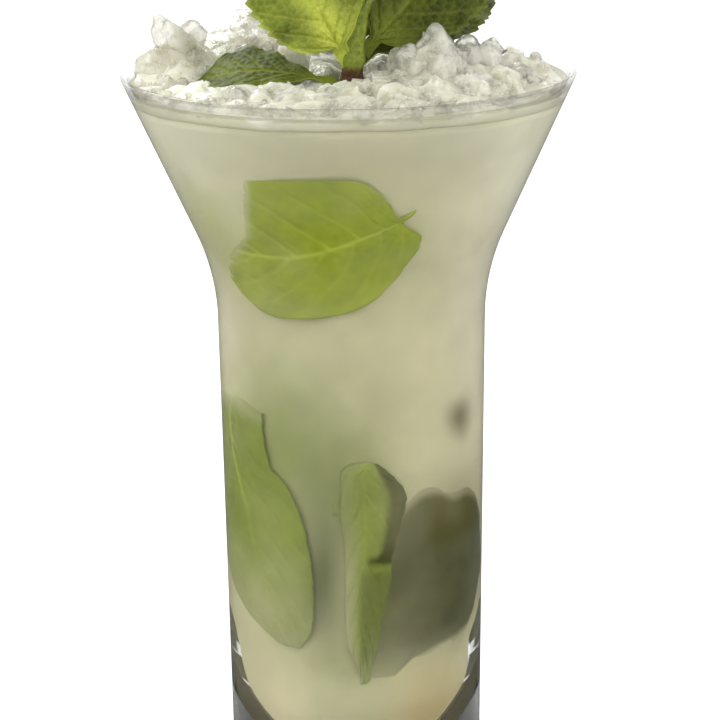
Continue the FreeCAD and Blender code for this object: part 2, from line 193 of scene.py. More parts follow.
def sheet_faces(rows, columns, turned_over):
    """Faces of a closed thin sheet: a grid of points, the grid of its other side, and the rim."""
    count = rows * columns
    faces = []
    for a in (i * columns + j for i in range(rows - 1) for j in range(columns - 1)):
        sides = [(a, a + 1, a + columns + 1, a + columns), (a, a + columns, a + columns + 1, a + 1)]
        near, far = reversed(sides) if turned_over else sides
        faces += [near, tuple(count + k for k in far)]
    rim = (list(range(columns)) + [i * columns + columns - 1 for i in range(1, rows)]
           + [(rows - 1) * columns + j for j in range(columns - 2, -1, -1)]
           + [i * columns for i in range(rows - 2, 0, -1)])
    for a, b in zip(rim, rim[1:] + rim[:1]):
        a, b = (a, b) if turned_over else (b, a)
        faces.append((a, b, count + b, count + a))
    return faces


def doubled(marks):
    """The marks of one side of a sheet, for both of its sides."""
    return {key: np.concatenate([values, values]) for key, values in marks.items()}


def settle(piece, replaced=None):
    """Ties the piece to the one body, and says which CAD node it replaces, which it hides."""
    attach(piece, "root")
    if replaced:
        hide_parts(replaced)


def revolve(name, profile, materials, smooth_angle, shape=None, marks=None, face_material=None):
    """A closed turned piece. The profile starts and ends on the axis; shape may move its points."""
    profile = np.array(profile, float)
    turns = np.linspace(0, 2 * math.pi, ROUND, endpoint=False)
    rings = [ring_points(radius, height, turns) for radius, height in profile[1:-1]]
    points = np.vstack([[0, 0, profile[0, 1]], *rings, [0, 0, profile[-1, 1]]])
    if shape is not None:
        points = shape(points)
    faces = capped_rings(len(profile) - 2, ROUND)
    found = marks(points) if marks else None
    kinds = face_material(points, faces) if face_material else None
    return make_mesh(name, points, faces, materials, smooth_angle, found, kinds)


def face_places(points, faces):
    """How far from the axis and how high the middle of each face is."""
    centres = np.array([points[list(f)].mean(axis=0) for f in faces])
    return np.hypot(centres[:, 0], centres[:, 1]), centres[:, 2]


# ---------------------------------------------------------------- materials
def colour(red, green, blue):
    """A colour given as it looks on a screen, 0 to 255, as the shader wants it."""
    made = []
    for part in (red, green, blue):
        part = part / 255
        made.append(part / 12.92 if part <= 0.04045 else ((part + 0.055) / 1.055) ** 2.4)
    return (*made, 1.0)


WHITE = (1, 1, 1, 1)
WATER_IOR, ICE_IOR, GLASS_IOR, SKIN_IOR = 1.33, 1.31, 1.5, 1.4
GLASS_TINT = (0.985, 0.992, 0.985, 1)
GLASS_SHADOW = (0.97, 0.98, 0.97, 1)
DRINK_SHADOW = (0.95, 0.95, 0.93, 1)


def new_material(name):
    material = bpy.data.materials.new(name)
    material.use_nodes = True
    material.node_tree.nodes.clear()
    return material, material.node_tree


def node(tree, kind, inputs=None, **settings):
    made = tree.nodes.new(kind)
    for key, value in settings.items():
        setattr(made, key, value)
    for key, value in (inputs or {}).items():
        if isinstance(value, bpy.types.NodeSocket):
            tree.links.new(value, made.inputs[key])
        else:
            made.inputs[key].default_value = value
    return made


def shader(tree, kind, **inputs):
    """A shader's output. _ stands for a space in an input's name."""
    inputs = {key.replace("_", " "): value for key, value in inputs.items()}
    return node(tree, f"ShaderNodeBsdf{kind}", inputs).outputs[0]


def mix_shaders(tree, share, first, second):
    return node(tree, "ShaderNodeMixShader", {0: share, 1: first, 2: second}).outputs[0]


def bumped(tree, height, strength, distance):
    """The normal of a surface with relief up to distance, in millimetres."""
    return node(tree, "ShaderNodeBump", {"Height": height, "Strength": strength,
                                         "Distance": distance * MM}).outputs[0]


def mark_value(tree, mark):
    return node(tree, "ShaderNodeAttribute", attribute_name=mark).outputs["Fac"]


def mark_colour(tree, mark):
    return node(tree, "ShaderNodeAttribute", attribute_name=mark).outputs["Color"]


def blend_colours(tree, share, first, second, mode="MIX"):
    return node(tree, "ShaderNodeMix", {0: share, 6: first, 7: second}, data_type="RGBA",
                blend_type=mode).outputs[2]


def shaded(tree, paint, tone):
    """The paint times a grey tone."""
    grey = node(tree, "ShaderNodeCombineColor", {0: tone, 1: tone, 2: tone}).outputs[0]
    return blend_colours(tree, 1.0, paint, grey, "MULTIPLY")


def sums(tree, operation, first, second=0.0):
    return node(tree, "ShaderNodeMath", {0: first, 1: second}, operation=operation).outputs[0]


def stretch(tree, value, low, high, to_low=0.0, to_high=1.0):
    return node(tree, "ShaderNodeMapRange", {"Value": value, "From Min": low, "From Max": high,
                                             "To Min": to_low, "To Max": to_high}).outputs[0]


def object_noise(tree, cell_mm, detail=3.0, roughness=0.55):
    """Noise fixed to the piece, with lumps about cell_mm across."""
    place = node(tree, "ShaderNodeTexCoord").outputs["Object"]
    return node(tree, "ShaderNodeTexNoise", {"Vector": place, "Scale": 1 / (cell_mm * MM),
                                             "Detail": detail, "Roughness": roughness}).outputs["Fac"]


def shadows_pass(tree, surface, tint):
    """The shader, except that light on its way to what lies behind goes straight through."""
    clear = shader(tree, "Transparent", Color=tint)
    return mix_shaders(tree, node(tree, "ShaderNodeLightPath").outputs["Is Shadow Ray"], surface, clear)


def mirror_rays(tree):
    """1 for what is seen as a reflection, and not through glass or lit by it."""
    path = node(tree, "ShaderNodeLightPath").outputs
    return sums(tree, "MULTIPLY", path["Is Glossy Ray"], path["Is Reflection Ray"])


def finish_material(material, surface):
    node(material.node_tree, "ShaderNodeOutputMaterial", {"Surface": surface})
    return material


def wetted_look():
    """The inside of the wall where the drink touches it, which mirrors next to nothing."""
    material, tree = new_material("wetted_glass")
    clear = shader(tree, "Refraction", Color=GLASS_TINT, Roughness=0.0, IOR=GLASS_IOR)
    return finish_material(material, shadows_pass(tree, clear, GLASS_SHADOW))


def glass_look():
    """Clear glass, eased at the lip so that its edges don't turn dark."""
    material, tree = new_material("clear_glass")
    clear = shader(tree, "Glass", Color=GLASS_TINT, Roughness=0.0, IOR=GLASS_IOR,
                   Normal=bumped(tree, object_noise(tree, 26.0, 1.0), 0.05, 0.6))
    softer = sums(tree, "MULTIPLY", mark_value(tree, "lip"), 0.6)
    eased = mix_shaders(tree, softer, clear, shader(tree, "Transparent", Color=WHITE))
    return finish_material(material, shadows_pass(tree, eased, GLASS_SHADOW))


CLOUD = colour(208, 201, 166)


def drink_look():
    """The cloudy drink just behind the wall: mostly see-through, with a thin veil over it."""
    material, tree = new_material("drink_liquid")
    veil = shader(tree, "Diffuse", Color=mark_colour(tree, "cloud"))
    clear = shader(tree, "Refraction", Color=WHITE, Roughness=0.06, IOR=WATER_IOR)
    thick = stretch(tree, object_noise(tree, 22.0, 2.0), 0.35, 0.65, 0.10, 0.18)
    mixed = mix_shaders(tree, thick, clear, veil)
    return finish_material(material, shadows_pass(tree, mixed, DRINK_SHADOW))


def surface_look():
    """The drink's wet top between the lumps of ice."""
    material, tree = new_material("drink_surface")
    wet = shader(tree, "Glass", Color=WHITE, Roughness=0.04, IOR=WATER_IOR,
                 Normal=bumped(tree, object_noise(tree, 5.0, 2.0), 0.3, 1.2))
    veil = shader(tree, "Diffuse", Color=mark_colour(tree, "cloud"))
    mixed = mix_shaders(tree, 0.25, wet, veil)
    return finish_material(material, shadows_pass(tree, mixed, DRINK_SHADOW))


def cloud_look():
    """The thick of the drink, which nothing is seen through."""
    material, tree = new_material("drink_cloud")
    tone = sums(tree, "ADD", stretch(tree, object_noise(tree, 3.5, 4.0, 0.6), 0.3, 0.7, -0.03, 0.03),
                stretch(tree, object_noise(tree, 15.0, 3.0), 0.3, 0.7, 0.94, 1.04))
    paint = shaded(tree, mark_colour(tree, "cloud"), tone)
    return finish_material(material, shader(tree, "Diffuse", Color=paint))


ICE_TONES = colour(222, 219, 204), colour(250, 248, 240)


def ice_look(name, clear_low, clear_high, rough):
    """Crushed ice: pieces that light passes through, milky inside and wet outside."""
    material, tree = new_material(name)
    heart = object_noise(tree, 3.6, 3.0, 0.6)
    normal = bumped(tree, object_noise(tree, 1.0, 3.0, 0.6), 0.4, 0.4)
    tone = blend_colours(tree, heart, *ICE_TONES)
    milky = mix_shaders(tree, 0.2, shader(tree, "Diffuse", Color=tone, Normal=normal),
                        shader(tree, "Translucent", Color=tone))
    clear = shader(tree, "Transparent", Color=(0.97, 0.97, 0.95, 1))
    body = mix_shaders(tree, stretch(tree, heart, 0.38, 0.62, clear_low, clear_high), milky, clear)
    wet = shader(tree, "Glossy", Color=WHITE, Roughness=rough, Normal=normal)
    shine = node(tree, "ShaderNodeFresnel", {"IOR": ICE_IOR, "Normal": normal}).outputs[0]
    return finish_material(material, mix_shaders(tree, shine, body, wet))


def clear_ice_look():
    """The clear slabs at the back, which bend what is behind them."""
    material, tree = new_material("ice_glassy")
    clear = shader(tree, "Glass", Color=(0.98, 0.985, 0.975, 1), Roughness=0.05, IOR=ICE_IOR,
                   Normal=bumped(tree, object_noise(tree, 2.4, 3.0, 0.6), 0.5, 0.8))
    milky = shader(tree, "Translucent", Color=colour(236, 234, 226))
    share = stretch(tree, object_noise(tree, 3.0, 3.0), 0.4, 0.7, 0.0, 0.35)
    mixed = mix_shaders(tree, share, clear, milky)
    return finish_material(material, shadows_pass(tree, mixed, (0.92, 0.93, 0.91, 1)))


def slush_look():
    """The packed ice under the loose pieces: milky, lit from inside, wet on its facets, with painted light
    that makes it lighter at the wall and on the left.
    """
    material, tree = new_material("ice_slush")
    fine = object_noise(tree, 1.4, 5.0, 0.65)
    broad = object_noise(tree, 5.0, 3.0)
    tone = blend_colours(tree, stretch(tree, fine, 0.3, 0.7), colour(186, 184, 164), colour(214, 212, 198))
    tone = blend_colours(tree, stretch(tree, broad, 0.35, 0.65, 0.0, 0.5), tone, colour(176, 174, 150))
    # Painted light: where the edge mark is high, at the wall and on the left, the ice is made lighter.
    tone = blend_colours(tree, mark_value(tree, "edge"), tone, colour(226, 223, 204))
    return finish_material(material, shader(
        tree, "Principled", Base_Color=tone, Roughness=0.1, IOR=ICE_IOR,
        Normal=bumped(tree, fine, 0.4, 0.6), Subsurface_Weight=1.0,
        Subsurface_Radius=(1.0, 1.0, 0.95), Subsurface_Scale=0.005))


LEAF_GLOW = 0.25


def leaf_look(name, *tints, rough=0.42, net_share=0.3):
    """Mint leaf: dark between its veins, yellow-green on them, lit through where thin."""
    material, tree = new_material(name)
    dark, light, vein, margin = (colour(*tint) for tint in tints)
    fine = object_noise(tree, 0.5, 3.0, 0.6)
    flesh = blend_colours(tree, stretch(tree, object_noise(tree, 6.0, 3.0), 0.35, 0.68), dark, light)
    flesh = blend_colours(tree, sums(tree, "MULTIPLY", mark_value(tree, "net"), net_share), flesh, vein)
    # This mark holds the paler margin and stalk end, and the painted highlight beside the midrib.
    flesh = blend_colours(tree, mark_value(tree, "pale_edge_and_highlight"), flesh, margin)
    flesh = blend_colours(tree, mark_value(tree, "vein"), flesh, vein)
    flesh = blend_colours(tree, mark_value(tree, "under"), flesh,
                          blend_colours(tree, 0.5, flesh, colour(150, 170, 95)))
    flesh = shaded(tree, flesh, stretch(tree, fine, 0.3, 0.7, 0.86, 1.12))
    skin = shader(tree, "Principled", Base_Color=flesh, Roughness=rough, IOR=SKIN_IOR,
                  Normal=bumped(tree, fine, 0.4, 0.2), Sheen_Weight=0.12, Sheen_Roughness=0.4)
    lit = shader(tree, "Translucent",
                 Color=blend_colours(tree, 1.0, flesh, (1.25, 1.25, 0.55, 1), "MULTIPLY"))
    return finish_material(material, mix_shaders(tree, LEAF_GLOW, skin, lit))


def sunken_look(name, *tints):
    """A mint leaf in the drink, which fades into the cloud where it lies deeper."""
    material, tree = new_material(name)
    dark, light, vein = (colour(*tint) for tint in tints)
    flesh = blend_colours(tree, stretch(tree, object_noise(tree, 7.0, 3.0), 0.35, 0.65), dark, light)
    flesh = blend_colours(tree, sums(tree, "MULTIPLY", mark_value(tree, "net"), 0.35), flesh, vein)
    flesh = blend_colours(tree, sums(tree, "MULTIPLY", mark_value(tree, "vein"), 0.8), flesh, vein)
    flesh = blend_colours(tree, mark_value(tree, "shade"), flesh, colour(40, 44, 0))
    flesh = blend_colours(tree, mark_value(tree, "fog"), flesh, mark_colour(tree, "cloud"))
    return finish_material(material, shader(tree, "Diffuse", Color=flesh))


def stem_look():
    """A green stem with a reddish-brown, woody foot."""
    material, tree = new_material("mint_stem")
    fine = object_noise(tree, 0.8, 4.0, 0.6)
    ends = sums(tree, "ADD", mark_value(tree, "foot"), stretch(tree, fine, 0.3, 0.7, -0.25, 0.25))
    bark = blend_colours(tree, stretch(tree, fine, 0.3, 0.7), colour(92, 106, 32), colour(136, 146, 52))
    woody = blend_colours(tree, stretch(tree, fine, 0.35, 0.65), colour(52, 30, 18), colour(92, 62, 36))
    paint = blend_colours(tree, stretch(tree, ends, 0.3, 0.7), bark, woody)
    return finish_material(material, shader(tree, "Principled", Base_Color=paint, Roughness=0.5,
                                            IOR=SKIN_IOR, Normal=bumped(tree, fine, 0.6, 0.3)))


def lime_look():
    """The dark, shaded thing at the bottom right, seen through the cloud."""
    material, tree = new_material("sunken_lime")
    broad, fine = object_noise(tree, 8.0, 3.0), object_noise(tree, 1.6, 3.0)
    flesh = blend_colours(tree, stretch(tree, broad, 0.35, 0.65), colour(78, 78, 54), colour(94, 94, 64))
    flesh = blend_colours(tree, sums(tree, "MULTIPLY", fine, 0.3), flesh, colour(84, 86, 52))
    flesh = blend_colours(tree, mark_value(tree, "olive"), flesh, colour(68, 65, 0))
    flesh = blend_colours(tree, mark_value(tree, "fog"), flesh, mark_colour(tree, "cloud"))
    return finish_material(material, shader(tree, "Diffuse", Color=flesh))


# ---------------------------------------------------------------- the cloud's colours
# name, azimuth in degrees (0 at the front, more to the right), height, spread round in degrees, spread up,
# colour, share
CLOUD_ZONES = [
    ("top", 0, 158, 400, 14, (206, 202, 174), 0.8),
    # Painted light: the next three zones make the drink lighter at its upper sides and at its right edge.
    ("painted_light_top_left", -72, 146, 34, 28, (254, 249, 224), 0.92),
    ("painted_light_top_right", 72, 146, 34, 26, (252, 247, 224), 0.92),
    ("painted_light_side_right", 82, 110, 22, 22, (252, 246, 230), 0.95),
    ("leaf_haze", -60, 128, 24, 13, (192, 195, 136), 0.85),
    ("waist", 0, 105, 400, 22, (200, 192, 160), 0.6),
    ("haze_upper", -30, 99, 40, 12, (177, 179, 137), 0.6),
    ("haze_low", -32, 84, 34, 12, (144, 150, 97), 0.92),
    ("haze_middle", -6, 76, 26, 16, (141, 144, 98), 0.85),
    ("gap_shade", -16, 57, 11, 16, (109, 113, 83), 0.95),
    ("blob_right", 62, 90, 11, 4.5, (108, 101, 78), 0.92),
    ("blob_middle", 8, 97, 14, 6, (175, 172, 136), 0.5),
    ("under_leaves", -8, 38, 30, 8, (161, 164, 120), 0.8),
    # Painted light: this zone makes the drink lighter at its left edge.
    ("painted_light_side_left", -82, 106, 18, 16, (226, 222, 196), 0.6),
    ("foot_left", -60, 24, 45, 12, (223, 211, 175), 0.9),
    ("foot_right", 50, 26, 34, 9, (190, 170, 122), 0.9),
    ("foot_middle", -10, 28, 24, 8, (188, 185, 150), 0.85),
    ("right_shade", 60, 56, 40, 18, (114, 114, 88), 0.8),
]
# The same for the thin veil at the wall, where green or dark things lie close behind it
VEIL_ZONES = [
    ("upper_leaf", -4, 130, 30, 13, (150, 162, 0), 0.95),
    ("left_leaf", -58, 68, 32, 22, (128, 146, 0), 0.95),
    ("folded_leaf", 5, 60, 14, 20, (116, 126, 0), 0.9),
    ("wedge", 54, 57, 40, 16, (62, 58, 8), 0.95),
]


def cloud_colours(points, zones=()):
    """The drink's colour at points in millimetres, from the named zones: its own tints, with painted light
    at its upper sides and at both edges, and painted shade in the zones named shade.
    """
    points = np.asarray(points, float)
    azimuth = np.degrees(np.arctan2(points[:, 0], -points[:, 1]))
    wobble = 5 * noise(points, 12.0, 4) + 2.5 * noise(points, 5.0, 5)
    made = np.tile(np.array(CLOUD[:3]), (len(points), 1))
    for name, middle, height, wide, tall, tint, share in (*CLOUD_ZONES, *zones):
        round_off = (azimuth - middle + 180) % 360 - 180
        away = (round_off / wide) ** 2 + ((points[:, 2] - height + wobble * 0.6) / tall) ** 2
        weight = (share * np.exp(-away))[:, None]
        made = made * (1 - weight) + np.array(colour(*tint)[:3]) * weight
    return made


# ---------------------------------------------------------------- leaves
LEAF_STALK, LEAF_STALK_WIDTH, LEAF_TIP_WIDTH, LEAF_FULLNESS = 0.09, 0.11, 0.03, 0.72
LEAF_GAP = 0.3
SIDE_VEINS = 8

# name, node's height on the stem, azimuth, pitch, roll, length, width, fold, curl, place of the widest part
LEAVES = [
    ("resting", 18.0, 167, 10.5, -20, 32.5, 19, 5, 43, 0.68),
    ("left", 22.5, 222, 57.5, -104, 48, 28, 12, 18, 0.45),
    ("right", 24.0, 20, 44, 56, 43, 27, 14, 26, 0.43),
    ("right_low", 22.5, 42, 22, 38, 42, 20, 10, 26, 0.5),
    ("back", 24.5, 88, 34, 0, 36, 25, 12, 44, 0.43),
    ("back_left", 26.5, 138, 38, -6, 35, 23, 12, 46, 0.43),
    ("upper_left", 35.0, 244, 56, 0, 26, 16, 12, 40, 0.43),
    ("upper_right", 33.5, 324, 56, 0, 27, 16, 12, 40, 0.43),
    ("upper_back_right", 34.0, 54, 50, 0, 27, 16, 12, 40, 0.43),
    ("upper_back_left", 34.5, 142, 52, 0, 26, 16, 12, 40, 0.43),
    ("crown_front", 40.0, 262, 64, 0, 17, 10, 10, 10, 0.43),
    ("crown_back", 40.5, 82, 62, 0, 17, 10, 10, 10, 0.43),
    ("crown_left", 43.0, 172, 68, 0, 13, 7.5, 10, 6, 0.43),
    ("crown_right", 43.5, 352, 68, 0, 13, 7.5, 10, 6, 0.43),
]


def stem_point(height):
    """The middle of the stem at a height above its foot."""
    share = np.asarray(height, float) / STEM_LENGTH
    return np.stack([STEM_X + STEM_LEAN_SIDE * share ** 2, STEM_Y + STEM_LEAN_BACK * share ** 2,
                     STEM_FOOT + share * STEM_LENGTH], axis=-1)


def stem_half_width(height):
    share = height / STEM_LENGTH
    return ((1 - share) * STEM_WIDTH + share * STEM_WIDTH_TOP) / 2


def leaf_relief(along, across, length, width, seed, cell=1.7):
    """Height of a leaf's upper side at shares of its length and width, and marks for its veins."""
    place = np.column_stack([along * length, across * width / 2, np.zeros(len(along))])
    side = np.abs(across)
    wander = 0.25 * noise(place, 6.0, seed + 1)
    phase = (along - 0.24 * side - 0.05 * side ** 2) * SIDE_VEINS + 0.25 * (across > 0) + wander * 0.3
    gap_mm = length / SIDE_VEINS * 0.72
    off = np.abs(phase - np.round(phase)) * gap_mm
    side_vein = np.exp(-(off / 0.26) ** 2) * (1 - 0.65 * side ** 2) * smoothstep(0.05, 0.16, along)
    rib_width = 0.62 - 0.34 * along
    rib = np.exp(-(side * width / 2 / rib_width) ** 2)
    draws = np.random.RandomState(seed)
    columns, rows = int(length / cell) + 3, int(width / cell) + 3
    gx, gy = np.meshgrid((np.arange(columns) - 1) * cell, (np.arange(rows) - rows / 2) * cell)
    seeds = np.column_stack([gx.ravel(), gy.ravel()]) + draws.uniform(-0.42, 0.42, (gx.size, 2)) * cell
    nearest = np.full(len(along), 1e9)
    second = np.full(len(along), 1e9)
    for x, y in seeds:
        distance = np.hypot(place[:, 0] - x, place[:, 1] - y)
        closer = distance < nearest
        second = np.where(closer, nearest, np.minimum(second, distance))
        nearest = np.where(closer, distance, nearest)
    edge = second - nearest
    net = np.exp(-(edge / 0.28) ** 2)
    quilt = smoothstep(0, 0.9 * cell, edge)
    bulge = np.sqrt(np.clip(1 - (2 * np.abs(phase - np.round(phase)) - 1) ** 2, 0, 1))
    height = 0.42 * quilt + 0.55 * bulge - 0.35 * side_vein - 0.55 * rib
    height = height * smoothstep(0.02, 0.14, along) * (1 - 0.45 * side ** 4)
    vein = np.clip(rib + 0.75 * side_vein, 0, 1)
    return height, vein, net * (1 - 0.5 * side)


TEETH, TOOTH_DEPTH = 17, 0.085
LEAF_THICKNESS = 0.32
MODEL_LEAF = 46.0           # the length of a leaf whose relief is at its full depth
CURL_STEPS = 400


def bent_path(length, curl):
    """Shares of a leaf's length, and where its midrib is there, along and up."""
    fine = np.linspace(0, 1, CURL_STEPS)
    slope = -math.radians(curl) * fine ** 2
    middle = (slope[1:] + slope[:-1]) / 2
    return fine, *(np.concatenate([[0], np.cumsum(part)]) / (CURL_STEPS - 1) * length
                   for part in (np.cos(middle), np.sin(middle)))


def make_leaf(row, seed, material, midrib, quilting):
    """A free leaf. midrib is how pale it is beside its rib, a painted highlight; quilting how deep its
    relief is.
    """
    name, at, azimuth, pitch, roll, length, width, fold, curl, widest = row
    scale = length / MODEL_LEAF
    rows, columns = int(70 + 70 * scale), int(36 + 30 * scale) | 1
    along, across = (g.ravel() for g in np.meshgrid(np.linspace(0, 1, rows), np.linspace(-1, 1, columns),
                                                    indexing="ij"))
    blade = np.clip((along - LEAF_STALK) / (1 - LEAF_STALK), 0, 1)
    power = math.log(0.5) / math.log(widest)
    half = width / 2 * np.maximum.reduce([
        np.sin(math.pi * np.minimum(blade ** power, 1)) ** LEAF_FULLNESS,
        LEAF_STALK_WIDTH * (1 - blade), np.full(len(blade), LEAF_TIP_WIDTH)])
    half = np.where(along <= LEAF_STALK, width * LEAF_STALK_WIDTH / 2, half)
    height, vein, net = leaf_relief(along, across, length, width, seed)
    saw = (along * TEETH - 0.35 * np.abs(across)) % 1
    tooth = smoothstep(0.1, 0.3, blade) * smoothstep(0.0, 0.06, 1 - blade) * np.abs(across) ** 6
    half = half * (1 - TOOTH_DEPTH * tooth * (1 - saw))
    wave = np.sin(2 * math.pi * (along * 5.2 + 0.2 * np.sign(across)))
    edge_wave = 0.55 * scale * np.abs(across) ** 3 * wave
    reach = np.abs(across) * half * math.tan(math.radians(fold)) + edge_wave
    slope = -math.radians(curl) * along ** 2
    fine, path_x, path_z = bent_path(length, curl)
    mid_x, mid_z = np.interp(along, fine, path_x), np.interp(along, fine, path_z)
    relief = height * quilting * (0.5 + 0.5 * scale)
    turn = np.array(Matrix.Rotation(math.radians(azimuth), 3, "Z")
                    @ Matrix.Rotation(math.radians(-pitch), 3, "Y")
                    @ Matrix.Rotation(math.radians(roll), 3, "X"))
    outward = np.array([math.cos(math.radians(azimuth)), math.sin(math.radians(azimuth)), 0])
    start = stem_point(at) + outward * (stem_half_width(at) - LEAF_GAP)
    sides = []
    for lift in (reach + relief, reach + relief - LEAF_THICKNESS):
        side = np.column_stack([mid_x - lift * np.sin(slope), across * half, mid_z + lift * np.cos(slope)])
        sides.append(start + side @ turn.T)
    pale_edge_and_highlight = smoothstep(0.88, 1.0, np.abs(across)) * 0.5 + 0.75 * (1 - smoothstep(0.08, 0.34, along))
    # A pale band beside the midrib, painted highlight, added to the paler margin and stalk end.
    pale = midrib * np.exp(-(across / 0.34) ** 2) * (1 - smoothstep(0.55, 0.95, along))
    marks = {"vein": vein * 0.8, "net": net, "pale_edge_and_highlight": np.clip(pale_edge_and_highlight + pale, 0, 1)}
    marks = doubled(marks) | {"under": np.repeat([0.0, 1.0], rows * columns)}
    piece = make_mesh(f"leaf_{name}", np.vstack(sides), sheet_faces(rows, columns, True), [material],
                      None, marks)
    settle(piece, f"mint_leaf_{name}")


STEM_JOINTS = (18, 23, 34.3, 40.5)
WOODY_FROM, WOODY_TO = 19.5, 23.5


def make_stem(material):
    """The stem, nearly square, with swollen joints and fine ridges."""
    rows, columns = 90, 40
    turns = np.linspace(0, 2 * math.pi, columns, endpoint=False)
    points = []
    for height in np.linspace(0, STEM_LENGTH, rows):
        half = stem_half_width(height)
        swell = 1 + 0.16 * sum(math.exp(-((height - at) / 1.3) ** 2) for at in STEM_JOINTS)
        square = (np.abs(np.cos(turns)) ** 5 + np.abs(np.sin(turns)) ** 5) ** (-1 / 5)
        radius = half * swell * np.minimum(square, 1.28)
        centre = stem_point(height)
        ridge = 1 + 0.035 * np.sin(8 * turns + 0.1 * height)
        points.append(np.column_stack([centre[0] + radius * ridge * np.cos(turns),
                                       centre[1] + radius * ridge * np.sin(turns),
                                       np.full(columns, centre[2])]))
    points = np.vstack(points)
    points += (0.12 * noise(points, 1.6, 31))[:, None] * np.array([1, 1, 0])
    points = np.vstack([[stem_point(0)], points, [stem_point(STEM_LENGTH) + [0, 0, 0.6]]])
    foot = 1 - smoothstep(WOODY_FROM, WOODY_TO, points[:, 2] - STEM_FOOT)
    piece = make_mesh("stem", points, capped_rings(rows, columns), [material], 60, {"foot": foot})
    settle(piece, "mint_stem")


# ---------------------------------------------------------------- what is sunk in the drink
def wall_point(azimuth, height, depth):
    """A point depth inside the glass's inner wall."""
    radius = inner_radius(height) - depth
    turn = np.radians(azimuth)
    return np.column_stack([radius * np.sin(turn), -radius * np.cos(turn), height])


def through(values, count):
    """Values read along a smooth line through the given stations."""
    values = np.array(values, float)
    at = np.linspace(0, len(values) - 1, count)
    base = np.clip(at.astype(int), 0, len(values) - 2)
    part = (at - base)[:, None]
    p0, p1, p2, p3 = (values[np.clip(base + k, 0, len(values) - 1)] for k in (-1, 0, 1, 2))
    return 0.5 * ((2 * p1) + (-p0 + p2) * part + (2 * p0 - 5 * p1 + 4 * p2 - p3) * part ** 2
                  + (-p0 + 3 * p1 - 3 * p2 + p3) * part ** 3)


# Each station along the midrib: the margin on one side, the midrib, the margin on the other side,
# each as azimuth in degrees and height in millimetres; then the depth of the midrib behind the wall.
UPPER_SUNKEN = [
    ((23.0, 136.5), (23.0, 136.9), (23.0, 137.3), 1.6),
    ((18.9, 134.5), (18.5, 135.2), (18.3, 135.9), 1.2),
    ((22.5, 132.9), (16.0, 134.3), (15.9, 136.3), 1.0),
    ((26.6, 131.3), (12.0, 133.3), (12.5, 139.3), 1.0),
    ((26.5, 128.0), (6.5, 131.9), (8.0, 142.3), 1.0),
    ((18.7, 121.6), (0.5, 130.5), (2.5, 144.3), 1.0),
    ((7.5, 116.3), (-7.0, 129.0), (-6.0, 144.6), 1.0),
    ((-7.0, 113.9), (-15.0, 127.7), (-16.0, 144.5), 1.0),
    ((-21.0, 113.0), (-24.0, 126.8), (-27.0, 144.0), 1.0),
    ((-37.0, 112.8), (-34.0, 126.6), (-37.0, 143.2), 1.1),
    ((-50.0, 114.8), (-45.0, 126.8), (-48.0, 141.0), 1.5),
    ((-61.0, 118.2), (-56.0, 127.4), (-58.0, 136.5), 2.0),
    ((-70.0, 123.5), (-66.0, 128.0), (-65.0, 131.8), 2.4),
    ((-72.5, 127.8), (-72.0, 128.3), (-72.0, 128.6), 2.7),
]
LEFT_SUNKEN = [
    ((-84.0, 96.5), (-74.0, 97.0), (-60.0, 96.5), 1.6),
    ((-89.0, 91.0), (-73.0, 92.0), (-49.0, 92.5), 1.1),
    ((-95.0, 84.0), (-73.0, 86.0), (-46.5, 86.5), 0.9),
    ((-98.0, 76.0), (-69.0, 79.5), (-43.0, 80.5), 0.8),
    ((-99.0, 69.0), (-65.0, 75.0), (-33.0, 76.5), 0.8),
    ((-97.0, 62.0), (-60.0, 70.0), (-26.0, 70.0), 0.9),
    ((-91.0, 56.0), (-55.0, 64.0), (-22.0, 62.0), 1.0),
    ((-82.0, 51.5), (-50.0, 58.0), (-21.0, 55.5), 1.1),
    ((-72.0, 48.0), (-46.0, 52.0), (-21.5, 49.0), 1.2),
    ((-61.0, 45.0), (-42.0, 46.5), (-24.5, 44.5), 1.3),
    ((-47.0, 42.2), (-39.0, 41.6), (-31.0, 41.6), 1.5),
]
FOLDED_SUNKEN = [
    ((5.0, 82.8), (8.0, 82.5), (12.0, 82.0), 1.5),
    ((-9.0, 81.0), (5.0, 80.5), (18.5, 79.7), 1.3),
    ((-10.0, 75.0), (5.5, 75.0), (26.3, 75.2), 1.2),
    ((-11.0, 68.0), (5.5, 68.0), (24.5, 70.0), 1.2),
    ((-10.0, 61.0), (4.0, 61.0), (19.0, 62.0), 1.2),
    ((-9.5, 54.0), (3.0, 54.0), (18.5, 57.0), 1.2),
    ((-8.5, 47.0), (3.0, 47.0), (15.5, 49.5), 1.3),
    ((-6.0, 41.0), (3.5, 41.0), (12.5, 42.5), 1.4),
    ((1.0, 33.8), (5.0, 33.8), (9.0, 34.3), 1.8),
]


LEAF_DEGREE, WEDGE_DEGREE = 0.47, 0.44     # millimetres to a degree of the wall, where they lie
SUNKEN_TEETH = 15
SUNKEN_THICKNESS = 0.5
SHALLOWEST = 0.35
FADED_DEPTH = 4.0           # how much deeper into the cloud the faded end of a leaf lies


